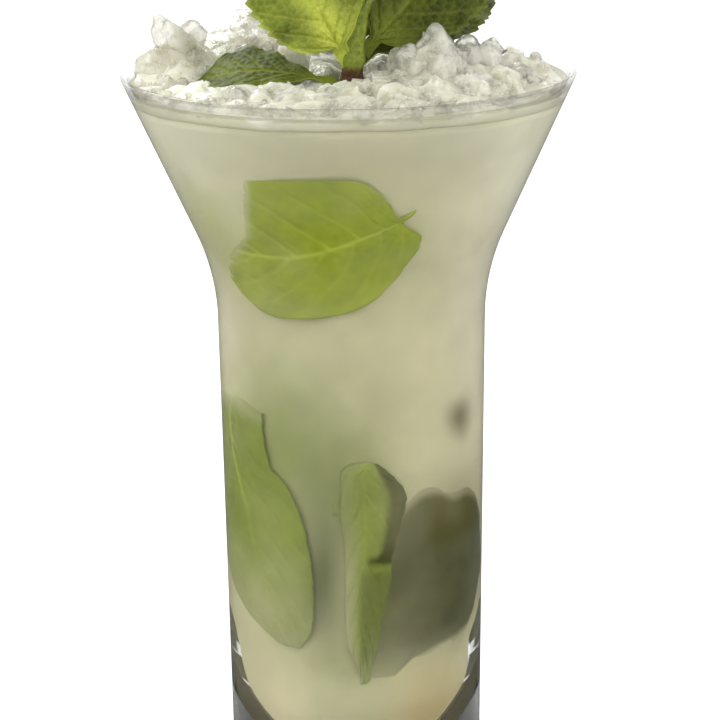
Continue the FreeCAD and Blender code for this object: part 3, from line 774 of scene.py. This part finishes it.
def make_sunken_leaf(name, stations, seed, material, fog_of, shade_of=None, vein_share=None):
    """A leaf lying close behind the wall. The three functions give what shows at its points."""
    rows, columns = 130, 61
    path = through([[*a, *b, *c, d] for a, b, c, d in stations], rows)
    across = np.tile(np.linspace(-1, 1, columns), rows)
    along = np.repeat(np.linspace(0, 1, rows), columns)
    path = np.repeat(path, columns, axis=0)
    low, middle, high, depth = path[:, 0:2], path[:, 2:4], path[:, 4:6], path[:, 6]
    side = np.abs(across)[:, None]
    flat = middle * (1 - side) + np.where(across[:, None] < 0, low, high) * side
    azimuth, height = flat[:, 0], flat[:, 1]
    midrib = through([[b[0] * LEAF_DEGREE, b[1]] for a, b, c, d in stations], 200)
    length = float(np.sum(np.hypot(*(np.diff(midrib, axis=0).T))))
    width = float(np.max(np.hypot((high - low)[:, 0] * LEAF_DEGREE, (high - low)[:, 1])))
    saw = (along * SUNKEN_TEETH - 0.35 * np.abs(across)) % 1
    relief, vein, net = leaf_relief(along, across, length, width, seed, cell=2.4)
    place = np.column_stack([azimuth * LEAF_DEGREE, height, height * 0])
    depth = depth - 0.55 * relief + 0.5 + 0.5 * noise(place, 14.0, seed + 2)
    depth = depth + 0.4 * np.abs(across) ** 2
    depth = np.maximum(depth, SHALLOWEST)
    azimuth = azimuth + (0.8 * np.abs(across) ** 5 * (saw - 0.5)) * np.sign(across)
    spots = azimuth, height, along, across
    wander = 0.12 * noise(wall_point(azimuth, height, depth), 6.0, seed + 3)
    fog = np.clip(fog_of(*spots) + wander, 0, 1)
    depth = depth + FADED_DEPTH * smoothstep(0.85, 1.0, fog)
    upper, lower = (wall_point(azimuth, height, depth + more) for more in (0, SUNKEN_THICKNESS))
    shade = shade_of(*spots) if shade_of else np.zeros(len(along))
    seen = vein_share(*spots) if vein_share else 1.0
    marks = {"vein": vein * seen, "net": net * seen, "fog": fog, "shade": shade,
             "cloud": cloud_colours(upper)}
    piece = make_mesh(name, np.vstack([upper, lower]), sheet_faces(rows, columns, False), [material],
                      None, doubled(marks))
    settle(piece)


# The wedge's outline on the wall, azimuth in degrees and height, clockwise from its top left
WEDGE = [
    (19.5, 70.5), (27.5, 73.6), (36.0, 75.4), (46.0, 75.2), (58.0, 73.0), (74.0, 72.6), (90.0, 67.5),
    (97.0, 58.0), (97.0, 49.0), (88.0, 43.0), (76.0, 40.5), (60.0, 39.4), (44.0, 38.0), (32.0, 36.0),
    (23.0, 33.5), (11.0, 32.4), (2.0, 34.0), (3.0, 42.0), (6.5, 47.0), (11.0, 52.0), (15.0, 60.0),
]


WEDGE_MIDDLE = np.array([46.0, 56.0])
WEDGE_DEPTH, WEDGE_BULGE, WEDGE_THICKNESS = 3.1, 2.2, 6.0


def make_wedge(material):
    """The dark lump at the bottom right: a shaded wedge of lime lying skin outward."""
    outline = np.array(WEDGE, float)
    edge = through(np.vstack([outline, outline[:1]]), 161)[:-1]
    around = len(edge)
    shares = np.linspace(0, 1, 26)[1:]
    rows = [[*WEDGE_MIDDLE, WEDGE_DEPTH - WEDGE_BULGE]]
    for share in shares:
        depth = np.full(around, WEDGE_DEPTH - WEDGE_BULGE * (1 - share ** 3))
        rows.append(np.column_stack([WEDGE_MIDDLE + (edge - WEDGE_MIDDLE) * share, depth]))
    azimuth, height, depth = np.vstack(rows).T
    place = np.column_stack([azimuth * WEDGE_DEGREE, height, height * 0])
    depth = depth + 0.45 * noise(place, 5.0, 61) + 0.2 * noise(place, 2.0, 62)
    outer = wall_point(azimuth, height, np.maximum(depth, 0.4))
    inner = wall_point(azimuth, height, depth + WEDGE_THICKNESS)
    count = len(outer)
    faces = [(0, 1 + (j + 1) % around, 1 + j) for j in range(around)]
    faces += ring_pairs(1, len(shares) - 1, around)
    outer_faces = [tuple(reversed(f)) for f in faces]
    inner_faces = [tuple(count + k for k in f) for f in faces]
    last = 1 + (len(shares) - 1) * around
    rim = [(last + j, count + last + j, count + last + (j + 1) % around, last + (j + 1) % around)
           for j in range(around)]
    away = np.concatenate([[0], np.repeat(shares, around)])
    fog = smoothstep(0.86, 1.0, away) * 0.7 + 0.10 * noise(outer, 7.0, 63)
    low = 1 - smoothstep(34, 47, height)
    fog = np.clip(fog + 0.62 * low + 0.03, 0, 1)
    olive = smoothstep(30, 44, azimuth) * smoothstep(60, 67, height) * (1 - smoothstep(74, 78, height))
    marks = {"fog": fog, "olive": olive * 0.9, "cloud": cloud_colours(outer)}
    piece = make_mesh("sunken_lime", np.vstack([outer, inner]), outer_faces + inner_faces + rim,
                      [material], None, doubled(marks))
    settle(piece)


# ---------------------------------------------------------------- glass and drink
def make_glass(material, wetted):
    """The glass, whose inside has its own material where the drink wets it."""
    outer = corner_arc(FOOT, OUTER_BEND, OUTER_LIP, BEND_ROUNDING, 32)
    foot = corner_arc((0, 0), FOOT, OUTER_BEND, FOOT_EDGE, 10)
    lip_out = corner_arc(OUTER_BEND, OUTER_LIP, INNER_LIP, LIP_ROUNDING, 8)
    lip_in = corner_arc(OUTER_LIP, INNER_LIP, INNER_BEND, LIP_ROUNDING, 8)
    inside = corner_arc(INNER_LIP, INNER_BEND, INNER_FOOT, BEND_ROUNDING - BEND_WALL, 32)
    profile = ([np.array([0, 0])] + [np.array([r, 0]) for r in (6, 12, 18, 22)] + foot
               + spread(foot[-1], outer[0], 10) + outer + spread(outer[-1], lip_out[0], 8) + lip_out
               + lip_in + spread(lip_in[-1], inside[0], 8) + inside
               + spread(inside[-1], INNER_FOOT, 8) + list(reversed(well_arc(44))))

    def kinds(points, faces):
        away, height = face_places(points, faces)
        inside = (away < inner_radius(height) + 0.5) & (height > WELL_FLOOR - 1)
        return (inside & (height < DRINK_LEVEL)).astype(int).tolist()

    piece = revolve("glass_tumbler", profile, [material, wetted], 40,
                    marks=lambda p: {"lip": smoothstep(156, 159, p[:, 2])}, face_material=kinds)
    settle(piece, "glass")


INTO_WALL = 0.2             # how far the drink reaches into the glass, so that no gap is left


def make_drink(side, top):
    """The liquid: a thin way into the wall all round, and flat on top but for its edge."""
    wall = [np.array([r + (INTO_WALL if r > 1 else 0), z - (INTO_WALL if z < WELL_TOP else 0)])
            for r, z in INNER if z < DRINK_LEVEL + 0.4]
    edge = inner_radius(DRINK_LEVEL) + INTO_WALL
    wall[0] = np.array([0.0, WELL_FLOOR - INTO_WALL])
    wall += [np.array([edge + 0.35, DRINK_LEVEL + 0.9]), np.array([edge - 0.45, DRINK_LEVEL + 0.55]),
             np.array([edge - 1.2, DRINK_LEVEL + 0.12])]
    wall += [np.array([r, DRINK_LEVEL]) for r in [*np.linspace(edge - 2.2, 4, 12), 0]]

    def kinds(points, faces):
        away, height = face_places(points, faces)
        return ((away < inner_radius(height) - 0.1) & (height > DRINK_LEVEL - 0.05)).astype(int).tolist()

    piece = revolve("drink_liquid", wall, [side, top], 50, face_material=kinds,
                    marks=lambda p: {"cloud": cloud_colours(p, VEIL_ZONES)})
    settle(piece, "drink")


CLOUD_DEPTH, CLOUD_DEPTH_FOOT = 3.0, 0.5
CLOUD_TOP = 155.6


def cloud_depth(height):
    """How far the opaque heart lies behind the wall: deep where leaves lie, close to it at the foot."""
    return CLOUD_DEPTH_FOOT + (CLOUD_DEPTH - CLOUD_DEPTH_FOOT) * smoothstep(26, 38, height)


def make_cloud(material):
    """The drink's opaque heart, a little inside the wall, with soft lumps."""
    heights = np.concatenate([WELL_TOP - (WELL_TOP - WELL_FLOOR) * np.cos(np.linspace(0, math.pi / 2, 46)),
                              np.linspace(WELL_TOP + 1.5, 155, 60)])
    raised = heights + CLOUD_DEPTH_FOOT * (1 - smoothstep(WELL_FLOOR, 26, heights))
    reach = inner_radius(heights) - cloud_depth(heights)
    profile = [(0.0, WELL_FLOOR + CLOUD_DEPTH_FOOT)] + [(r, z) for r, z in zip(reach, raised) if r > 0.6]
    profile += [(r, CLOUD_TOP) for r in [*np.linspace(profile[-1][0] - 1.5, 3, 14), 0.0]]

    def shape(points):
        height = points[:, 2]
        lump = (0.55 * noise(points, 9.0, 21) + 0.3 * noise(points, 4.0, 22)) * smoothstep(24, 38, height)
        radius = np.maximum(np.hypot(points[:, 0], points[:, 1]), 1e-6)
        lump = lump + 1.4 * smoothstep(138, 152, height) * (1 - smoothstep(155.3, CLOUD_TOP, height))
        scale = np.where(radius > 2, (radius + lump) / radius, 1)
        return points * np.column_stack([scale, scale, np.ones(len(points))])

    piece = revolve("drink_cloud", profile, [material], None, shape=shape,
                    marks=lambda p: {"cloud": cloud_colours(p)})
    settle(piece)


# ---------------------------------------------------------------- crushed ice
HEAP = BVHTree.FromObject(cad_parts["crushed_ice"], bpy.context.evaluated_depsgraph_get())


def heap_top(x, y):
    """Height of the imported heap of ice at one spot, in millimetres."""
    hit = HEAP.ray_cast(Vector((x * MM, y * MM, 0.3)), Vector((0, 0, -1)))
    return hit[0].z / MM if hit[0] is not None else None


HEAP_HALF, HEAP_RADIUS = 46, 45.5
SPAN = np.arange(-HEAP_HALF, HEAP_HALF + 1.0, 1.0)


def heap_surface():
    """The heap's top as a grid of heights a millimetre apart, read once."""
    grid = np.full((len(SPAN), len(SPAN)), DRINK_LEVEL + 0.4)
    for i, x in enumerate(SPAN):
        for j, y in enumerate(SPAN):
            found = heap_top(x, y) if math.hypot(x, y) < HEAP_RADIUS else None
            if found is not None:
                grid[i, j] = found
    return grid


HEAP_GRID = heap_surface()


def heap_heights(x, y):
    """The heap's height at any spots, read from the grid."""
    i, j = (np.clip(np.asarray(place) - SPAN[0], 0, len(SPAN) - 1.001) for place in (x, y))
    a, b = i.astype(int), j.astype(int)
    u, v = i - a, j - b
    g = HEAP_GRID
    return (g[a, b] * (1 - u) * (1 - v) + g[a + 1, b] * u * (1 - v)
            + g[a, b + 1] * (1 - u) * v + g[a + 1, b + 1] * u * v)


SLUSH_DROP, SLUSH_DEEP = 0.7, 7.0       # below the heap's top, and below the drink's surface


def facets(x, y, seed, cell, tilt, step, steep):
    """Relief of flat tilted facets about a cell across, with the broken outlines of packed ice."""
    draws = np.random.RandomState(seed)
    span = np.arange(-48, 48 + cell, cell)
    cx, cy = (g.ravel() for g in np.meshgrid(span, span))
    cx, cy = cx + draws.uniform(-0.5, 0.5, len(cx)) * cell, cy + draws.uniform(-0.5, 0.5, len(cy)) * cell
    made = np.full(len(x), -1e9)
    for a, b in zip(cx, cy):
        slope, lift = draws.uniform(-tilt, tilt, 2), draws.uniform(-step, step)
        sides = np.sort(draws.uniform(0, 2 * math.pi, 5))
        reach = draws.uniform(0.35, 0.7, 5) * cell
        near = (np.abs(x - a) < 1.6 * cell) & (np.abs(y - b) < 1.6 * cell)
        u, v = x[near] - a, y[near] - b
        out = np.max([u * math.cos(t) + v * math.sin(t) - r for t, r in zip(sides, reach)], axis=0)
        made[near] = np.maximum(made[near], lift + slope[0] * u + slope[1] * v - steep * np.maximum(out, 0))
    return np.maximum(made, -0.3 * cell)


def make_slush(material):
    """The heap's packed core, with the facets of the pieces packed in it."""
    count, rings = 320, 110
    turns = np.linspace(0, 2 * math.pi, count, endpoint=False)
    widest = inner_radius(DRINK_LEVEL) - 0.6
    shares = np.linspace(0, 1, rings + 1)[1:]
    points = np.vstack([[0, 0, 0], *(ring_points(widest * share, 0.0, turns) for share in shares)])
    x, y = points[:, 0].copy(), points[:, 1].copy()
    away = np.hypot(x, y)
    relief = facets(x, y, 41, 5.2, 0.3, 0.8, 0.9) + facets(x, y, 42, 2.2, 0.3, 0.25, 1.0) * 0.5
    relief = relief * (1 - 0.75 * smoothstep(36, 42, away))
    points[:, 2] = np.maximum(heap_heights(x, y) - SLUSH_DROP + relief, DRINK_LEVEL - 2.5)
    room = inner_radius(np.minimum(points[:, 2], GLASS_HEIGHT)) - 0.5
    points[:, :2] *= np.minimum(1, room / np.maximum(away, 1))[:, None]
    under = points.copy()
    under[:, 2] = DRINK_LEVEL - SLUSH_DEEP
    room = inner_radius(DRINK_LEVEL - SLUSH_DEEP) - CLOUD_DEPTH - 2.5
    under[:, :2] *= np.minimum(1, room / np.maximum(np.hypot(under[:, 0], under[:, 1]), 1))[:, None]
    total = len(points)
    faces = [(0, 1 + j, 1 + (j + 1) % count) for j in range(count)]
    faces += [tuple(reversed(f)) for f in ring_pairs(1, rings - 1, count)]
    low_faces = [tuple(total + k for k in reversed(f)) for f in faces]
    last = 1 + (rings - 1) * count
    rim = [(last + j, last + (j + 1) % count, total + last + (j + 1) % count, total + last + j)
           for j in range(count)]
    # The edge mark is painted light: it is high near the wall and on the left side, where the ice is made
    # lighter.
    edge = np.maximum(smoothstep(41, 44.5, np.maximum(away, 1)), 0.9 * smoothstep(-22, -34, points[:, 0]))
    piece = make_mesh("ice_slush", np.vstack([points, under]), faces + low_faces + rim, [material], 24,
                      doubled({"edge": edge}))
    fix_normals(piece)
    settle(piece, "crushed_ice")


def fix_normals(piece):
    work = bmesh.new()
    work.from_mesh(piece.data)
    bmesh.ops.recalc_face_normals(work, faces=work.faces)
    work.to_mesh(piece.data)
    work.free()


def ball(rings):
    """Points and faces of a round ball of triangles, to be cut into lumps."""
    work = bmesh.new()
    bmesh.ops.create_icosphere(work, subdivisions=rings, radius=1.0)
    points = np.array([v.co[:] for v in work.verts])
    faces = np.array([[v.index for v in f.verts] for f in work.faces])
    work.free()
    return points, faces


def turned(draws):
    """A random turn as a 3 by 3 array."""
    w, i, j, k = (lambda q: q / np.linalg.norm(q))(draws.normal(size=4))
    return np.array([[1 - 2 * (j * j + k * k), 2 * (i * j - k * w), 2 * (i * k + j * w)],
                     [2 * (i * j + k * w), 1 - 2 * (i * i + k * k), 2 * (j * k - i * w)],
                     [2 * (i * k - j * w), 2 * (j * k + i * w), 1 - 2 * (i * i + j * j)]])


def ice_lump(points, draws, planes, sharp, dent):
    """The ball cut by random planes, with edges rounded as melting ice has."""
    normals = draws.normal(size=(planes, 3))
    normals /= np.linalg.norm(normals, axis=1)[:, None]
    reach = draws.uniform(0.62, 1.0, planes)
    pull = np.maximum(points @ normals.T, 0) / reach
    radius = (np.sum(pull ** sharp, axis=1) + 0.75 ** sharp) ** (-1 / sharp)
    made = points * radius[:, None]
    return made * (1 + dent * noise(made + draws.uniform(0, 20, 3), 0.55, 7))[:, None]


def loose_spots(draws, count, small, large, sink, lift):
    """Places and sizes for loose pieces of ice scattered over the heap, inside the glass."""
    spots = []
    while len(spots) < count:
        turn, away = draws.uniform(0, 2 * math.pi), 45.5 * math.sqrt(draws.rand())
        size = small + (large - small) * draws.rand() ** 1.8
        form = draws.uniform(0.6, 1.0, 3) * size / 2
        x, y = away * math.sin(turn), -away * math.cos(turn)
        z = float(heap_heights(x, y)) + draws.uniform(-sink, lift) * size
        room = inner_radius(min(z - 1.0, GLASS_HEIGHT - 1)) - form.max() - 0.2
        if away > room:
            x, y = x * room / away, y * room / away
            z = min(z, float(heap_heights(x, y)) + lift * size)
        if hides_sprig(x, y, z + form.mean()):
            continue
        if math.hypot(x, y) > NEAR_WALL and z < DRINK_LEVEL + 0.6 * form.max():
            continue
        spots.append((x, y, z, form))
    return spots


def make_ice_pieces(name, spots, rings, seed, material, planes, sharp, dent):
    """Pieces of crushed ice, each an uneven lump of its own, joined in one mesh."""
    draws = np.random.RandomState(seed)
    base, faces = ball(rings)
    all_points, all_faces = [], []
    for x, y, z, form in spots:
        lump = ice_lump(base, draws, planes, sharp, dent) @ turned(draws).T * form
        lump = lump @ turned(draws).T if max(form) / min(form) < 1.8 else lump
        all_faces.append(faces + len(base) * len(all_points))
        all_points.append(lump + [x, y, z])
    points = np.vstack(all_points)
    faces = np.vstack(all_faces).tolist()
    piece = make_mesh(name, points, faces, [material], 28)
    settle(piece, "crushed_ice")


# The large lumps that stand out of the heap: x, y, how far their middle is from its top, and half sizes
STANDING_ICE = [
    (-36.5, 9.0, 0.6, (3.4, 3.2, 5.0)), (-33.5, 13.0, -0.6, (3.6, 3.4, 3.8)),
    (-40.0, 6.0, -1.2, (3.4, 3.2, 3.6)), (-37.0, -4.0, -0.8, (3.8, 3.4, 3.4)),
    (17.0, -15.5, -5.6, (4.4, 4.0, 5.6)), (12.5, -17.0, -2.2, (3.8, 3.4, 4.6)),
    (22.0, -13.0, -2.4, (4.0, 3.6, 4.8)), (27.0, -9.0, -1.4, (4.0, 3.6, 4.0)),
    (33.0, -3.0, -0.8, (3.8, 3.4, 3.4)), (19.0, -22.0, -1.6, (4.0, 3.4, 3.6)),
    (12.0, -25.0, -1.4, (3.6, 3.4, 3.2)), (28.0, -17.0, -1.4, (3.8, 3.4, 3.2)),
    (36.0, -10.0, -1.0, (3.4, 3.2, 3.0)), (8.0, 24.0, -0.5, (5.0, 4.4, 3.6)),
    (20.0, 24.0, -0.5, (4.8, 4.0, 3.4)), (-4.0, 22.0, -0.5, (4.6, 4.0, 3.4)),
    (30.0, 14.0, -0.5, (4.6, 4.0, 3.2)), (-12.0, -26.0, -1.4, (4.0, 3.4, 2.2)),
    (-22.0, -24.0, -1.4, (4.0, 3.4, 2.2)), (-3.0, -30.0, -1.4, (4.0, 3.4, 2.2)),
]
CLEAR_SLABS = [(-22.0, 27.0, 1.2, (9.0, 4.0, 2.7)), (-13.5, 29.0, 0.2, (5.6, 3.6, 2.2)),
               (-29.0, 20.0, 0.6, (4.6, 3.8, 2.6)), (4.0, 31.0, 0.6, (5.4, 3.6, 2.4))]

NEAR_WALL = 36.0            # farther out than this, no loose piece lies below the drink's surface
SIGHT_LIMIT, SIGHT_BACK = 151.2, -6.0
SIGHT_SIDES = (-35.0, 4.0)


def hides_sprig(x, y, top):
    """Whether a piece of ice in front would hide the resting leaf or the foot of the stem."""
    seen = top * math.cos(CAMERA_PITCH) + y * math.sin(CAMERA_PITCH)
    return SIGHT_SIDES[0] < x < SIGHT_SIDES[1] and y < SIGHT_BACK and seen > SIGHT_LIMIT


def standing(rows):
    return [(x, y, float(heap_heights(x, y)) + lift, np.array(form)) for x, y, lift, form in rows]


# ---------------------------------------------------------------- build
make_glass(glass_look(), wetted_look())
make_drink(drink_look(), surface_look())
make_cloud(cloud_look())
make_slush(slush_look())
LOOSE = np.random.RandomState(71)
make_ice_pieces("ice_standing", standing(STANDING_ICE), 4, 70,
                ice_look("ice_lump", 0.3, 0.75, 0.08), planes=8, sharp=26, dent=0.12)
make_ice_pieces("ice_slabs", standing(CLEAR_SLABS), 4, 73,
                clear_ice_look(), planes=8, sharp=26, dent=0.08)
make_ice_pieces("ice_lumps", loose_spots(LOOSE, 240, 2.6, 6.0, 0.40, 0.0), 3, 74,
                ice_look("ice_clear", 0.45, 0.9, 0.06), planes=7, sharp=34, dent=0.09)
make_ice_pieces("ice_grains", loose_spots(LOOSE, 800, 1.0, 2.6, 0.45, 0.15), 2, 75,
                ice_look("ice_milky", 0.4, 0.85, 0.08), planes=6, sharp=40, dent=0.05)

# The colours of a leaf: its dark and light flesh, its veins, and its margin and stalk end
LEAF = leaf_look("mint_leaf", (76, 92, 16), (116, 134, 32), (186, 194, 78), (160, 174, 60))
RESTING_LEAF = leaf_look("mint_leaf_resting", (66, 78, 12), (104, 118, 26), (160, 168, 62),
                         (146, 158, 48), rough=0.6, net_share=0.25)
# Lighter and darker copies of the leaf's colours, for the lit leaves on the left and the shaded leaves on
# the right and at the back: painted light and painted shade.
LIT_LEAF = leaf_look("mint_leaf_lit", (80, 94, 20), (124, 138, 38), (200, 206, 92), (196, 206, 84))
SHADED_LEAF = leaf_look("mint_leaf_shaded", (52, 62, 10), (88, 98, 22), (140, 146, 56), (120, 130, 40))
# name: look, how pale it is beside its rib (painted highlight), depth of its relief
LEAF_KINDS = {
    "left": (LIT_LEAF, 0.9, 1.0), "upper_left": (LIT_LEAF, 0.5, 1.0),
    "resting": (RESTING_LEAF, 0.0, 0.6), "right": (SHADED_LEAF, 0.3, 1.0),
    "right_low": (SHADED_LEAF, 0.2, 1.0), "back": (SHADED_LEAF, 0.0, 1.0),
}
for number, row in enumerate(LEAVES):
    make_leaf(row, 100 + 7 * number, *LEAF_KINDS.get(row[0], (LEAF, 0.2, 1.0)))
make_stem(stem_look())

SUNKEN = sunken_look("sunken_mint", (140, 153, 44), (158, 170, 46), (196, 206, 84))
SUNKEN_LOW = sunken_look("sunken_mint_low", (124, 136, 62), (140, 151, 70), (186, 198, 90))


# How far each sunken leaf fades into the cloud, how much its veins show, and where it is dark
def upper_fog(azimuth, height, along, across):
    low = np.clip(131 - height, 0, 13)
    aside = -inner_radius(height) * np.sin(np.radians(azimuth))
    return 0.03 + 1.1 * smoothstep(0, 1, (aside - 19.5 - 0.35 * low) / (3.5 + 0.5 * low))


def upper_veins(azimuth, height, along, across):
    return 0.4 + 0.6 * np.exp(-(across / 0.12) ** 2)


def left_fog(azimuth, height, along, across):
    corner = smoothstep(0.2, 1.0, across) * smoothstep(86, 94, height)
    ends = 0.3 * smoothstep(70, 48, height) + smoothstep(88, 96, height)
    return np.clip(0.1 + ends + 0.5 * corner, 0, 1)


def left_veins(azimuth, height, along, across):
    return (0.15 + 0.85 * smoothstep(66, 80, height)) * np.exp(-(across / 0.25) ** 2)


def folded_fog(azimuth, height, along, across):
    return np.clip(0.1 + 0.95 * smoothstep(0.15, -0.95, across) + 0.2 * smoothstep(44, 34, height), 0, 1)


def folded_shade(azimuth, height, along, across):
    margin = smoothstep(0.4, 0.7, across) * smoothstep(60, 63, height)
    notch = np.exp(-((height - 61.4) / 1.1) ** 2) * smoothstep(0.0, 0.3, across)
    low = smoothstep(61, 58, height) * smoothstep(-0.3, 0.2, across) * smoothstep(34, 42, height)
    return np.clip(0.95 * margin + 0.9 * notch + 0.5 * low, 0, 1)


def folded_veins(azimuth, height, along, across):
    return 0.2 * np.ones(len(along))


make_sunken_leaf("sunken_leaf_upper", UPPER_SUNKEN, 301, SUNKEN, upper_fog, None, upper_veins)
make_sunken_leaf("sunken_leaf_left", LEFT_SUNKEN, 311, SUNKEN_LOW, left_fog, None, left_veins)
make_sunken_leaf("sunken_leaf_folded", FOLDED_SUNKEN, 321, SUNKEN_LOW, folded_fog, folded_shade,
                 folded_veins)
make_wedge(lime_look())

# ---------------------------------------------------------------- floor, light and camera
FLOOR_HALF = 4000.0
FLAG_SPOTS = ((51.0, 50.0), (-51.0, 50.0))
FLAG_HALF, FLAG_HEIGHT = 23.0, 0.5


def flat_square(name, x, y, height, half, material):
    corners = [(x + i * half, y + j * half, height) for i, j in ((-1, -1), (1, -1), (1, 1), (-1, 1))]
    return make_mesh(name, corners, [(0, 1, 2, 3)], [material])


def floor_look():
    """A pale floor, which the piece mirrors as a darker one."""
    material, tree = new_material("pale_floor")
    tone = blend_colours(tree, stretch(tree, object_noise(tree, 40.0, 3.0), 0.3, 0.7),
                         (0.93, 0.93, 0.93, 1), (0.95, 0.95, 0.95, 1))
    pale, mirrored = (shader(tree, "Diffuse", Color=paint) for paint in (tone, (0.08, 0.08, 0.08, 1)))
    return finish_material(material, mix_shaders(tree, mirror_rays(tree), pale, mirrored))


flat_square("floor", 0, 0, 0, FLOOR_HALF, floor_look())

scene = bpy.context.scene
scene.view_settings.view_transform = "Standard"
world = bpy.data.worlds.new("studio")
world.use_nodes = True
sky = world.node_tree
white = sky.nodes["Background"]
white.inputs["Color"].default_value = WHITE
white.inputs["Strength"].default_value = 1.0
# mirrors see a dim sky towards the front, where the photo's room is dark
dim = node(sky, "ShaderNodeBackground", {"Color": WHITE, "Strength": 0.12})
place = node(sky, "ShaderNodeTexCoord").outputs["Generated"]
front = stretch(sky, node(sky, "ShaderNodeSeparateXYZ", {0: place}).outputs["Y"], 0.25, -0.35)
dimmed = sums(sky, "MULTIPLY", front, mirror_rays(sky))
sky.links.new(mix_shaders(sky, dimmed, white.outputs[0], dim.outputs[0]),
              sky.nodes["World Output"].inputs["Surface"])
scene.world = world


def add_light(name, kind, place, aim, power, **settings):
    data = bpy.data.lights.new(name, kind)
    data.energy = power
    for key, value in settings.items():
        setattr(data, key, value)
    lamp = bpy.data.objects.new(name, data)
    lamp.location = place
    lamp.rotation_euler = (Vector(aim) - Vector(place)).to_track_quat("-Z", "Y").to_euler()
    scene.collection.objects.link(lamp)
    return lamp


for name, place, power in (("front_left_soft", (-0.75, -0.8, 0.95), 1.1),
                           ("front_right_soft", (0.85, -0.75, 0.85), 1.1)):
    lamp = add_light(name, "SUN", place, (0, 0, 0.1), power, angle=math.radians(60))
    lamp.visible_glossy = False
add_light("back_strip", "AREA", (-0.35, 0.7, 0.75), (0, 0, 0.16), 4.0, size=0.35)

# Dark flags just over the floor, seen only through the thick foot, whose lower corners they darken
dark_flag, tree = new_material("dark_flag")
finish_material(dark_flag, shader(tree, "Diffuse", Color=(0.004, 0.004, 0.004, 1)))
for number, (x, y) in enumerate(FLAG_SPOTS):
    flag = flat_square(f"dark_flag_{number}", x, y, FLAG_HEIGHT, FLAG_HALF, dark_flag)
    flag.visible_camera = flag.visible_diffuse = flag.visible_shadow = False

AIM = Vector((1.676, 0.0, 98.326)) * MM
CAMERA_DISTANCE = 0.9
CAMERA_ROLL = math.radians(0.701)
forward = Vector((0, math.cos(CAMERA_PITCH), -math.sin(CAMERA_PITCH)))
right = Vector((1, 0, 0))
up = right.cross(forward)
data = bpy.data.cameras.new("camera")
data.lens = 214.49
data.sensor_width = 36.0
data.clip_start, data.clip_end = 0.05, 20.0
camera = bpy.data.objects.new("camera", data)
tilted_right = right * math.cos(CAMERA_ROLL) - up * math.sin(CAMERA_ROLL)
tilted_up = right * math.sin(CAMERA_ROLL) + up * math.cos(CAMERA_ROLL)
place = [AIM[i] - forward[i] * CAMERA_DISTANCE for i in range(3)]
axes = (tilted_right, tilted_up, -forward, place)
camera.matrix_world = Matrix([[axis[i] for axis in axes] for i in range(3)] + [[0, 0, 0, 1]])
scene.collection.objects.link(camera)
scene.camera = camera

bpy.context.view_layer.update()
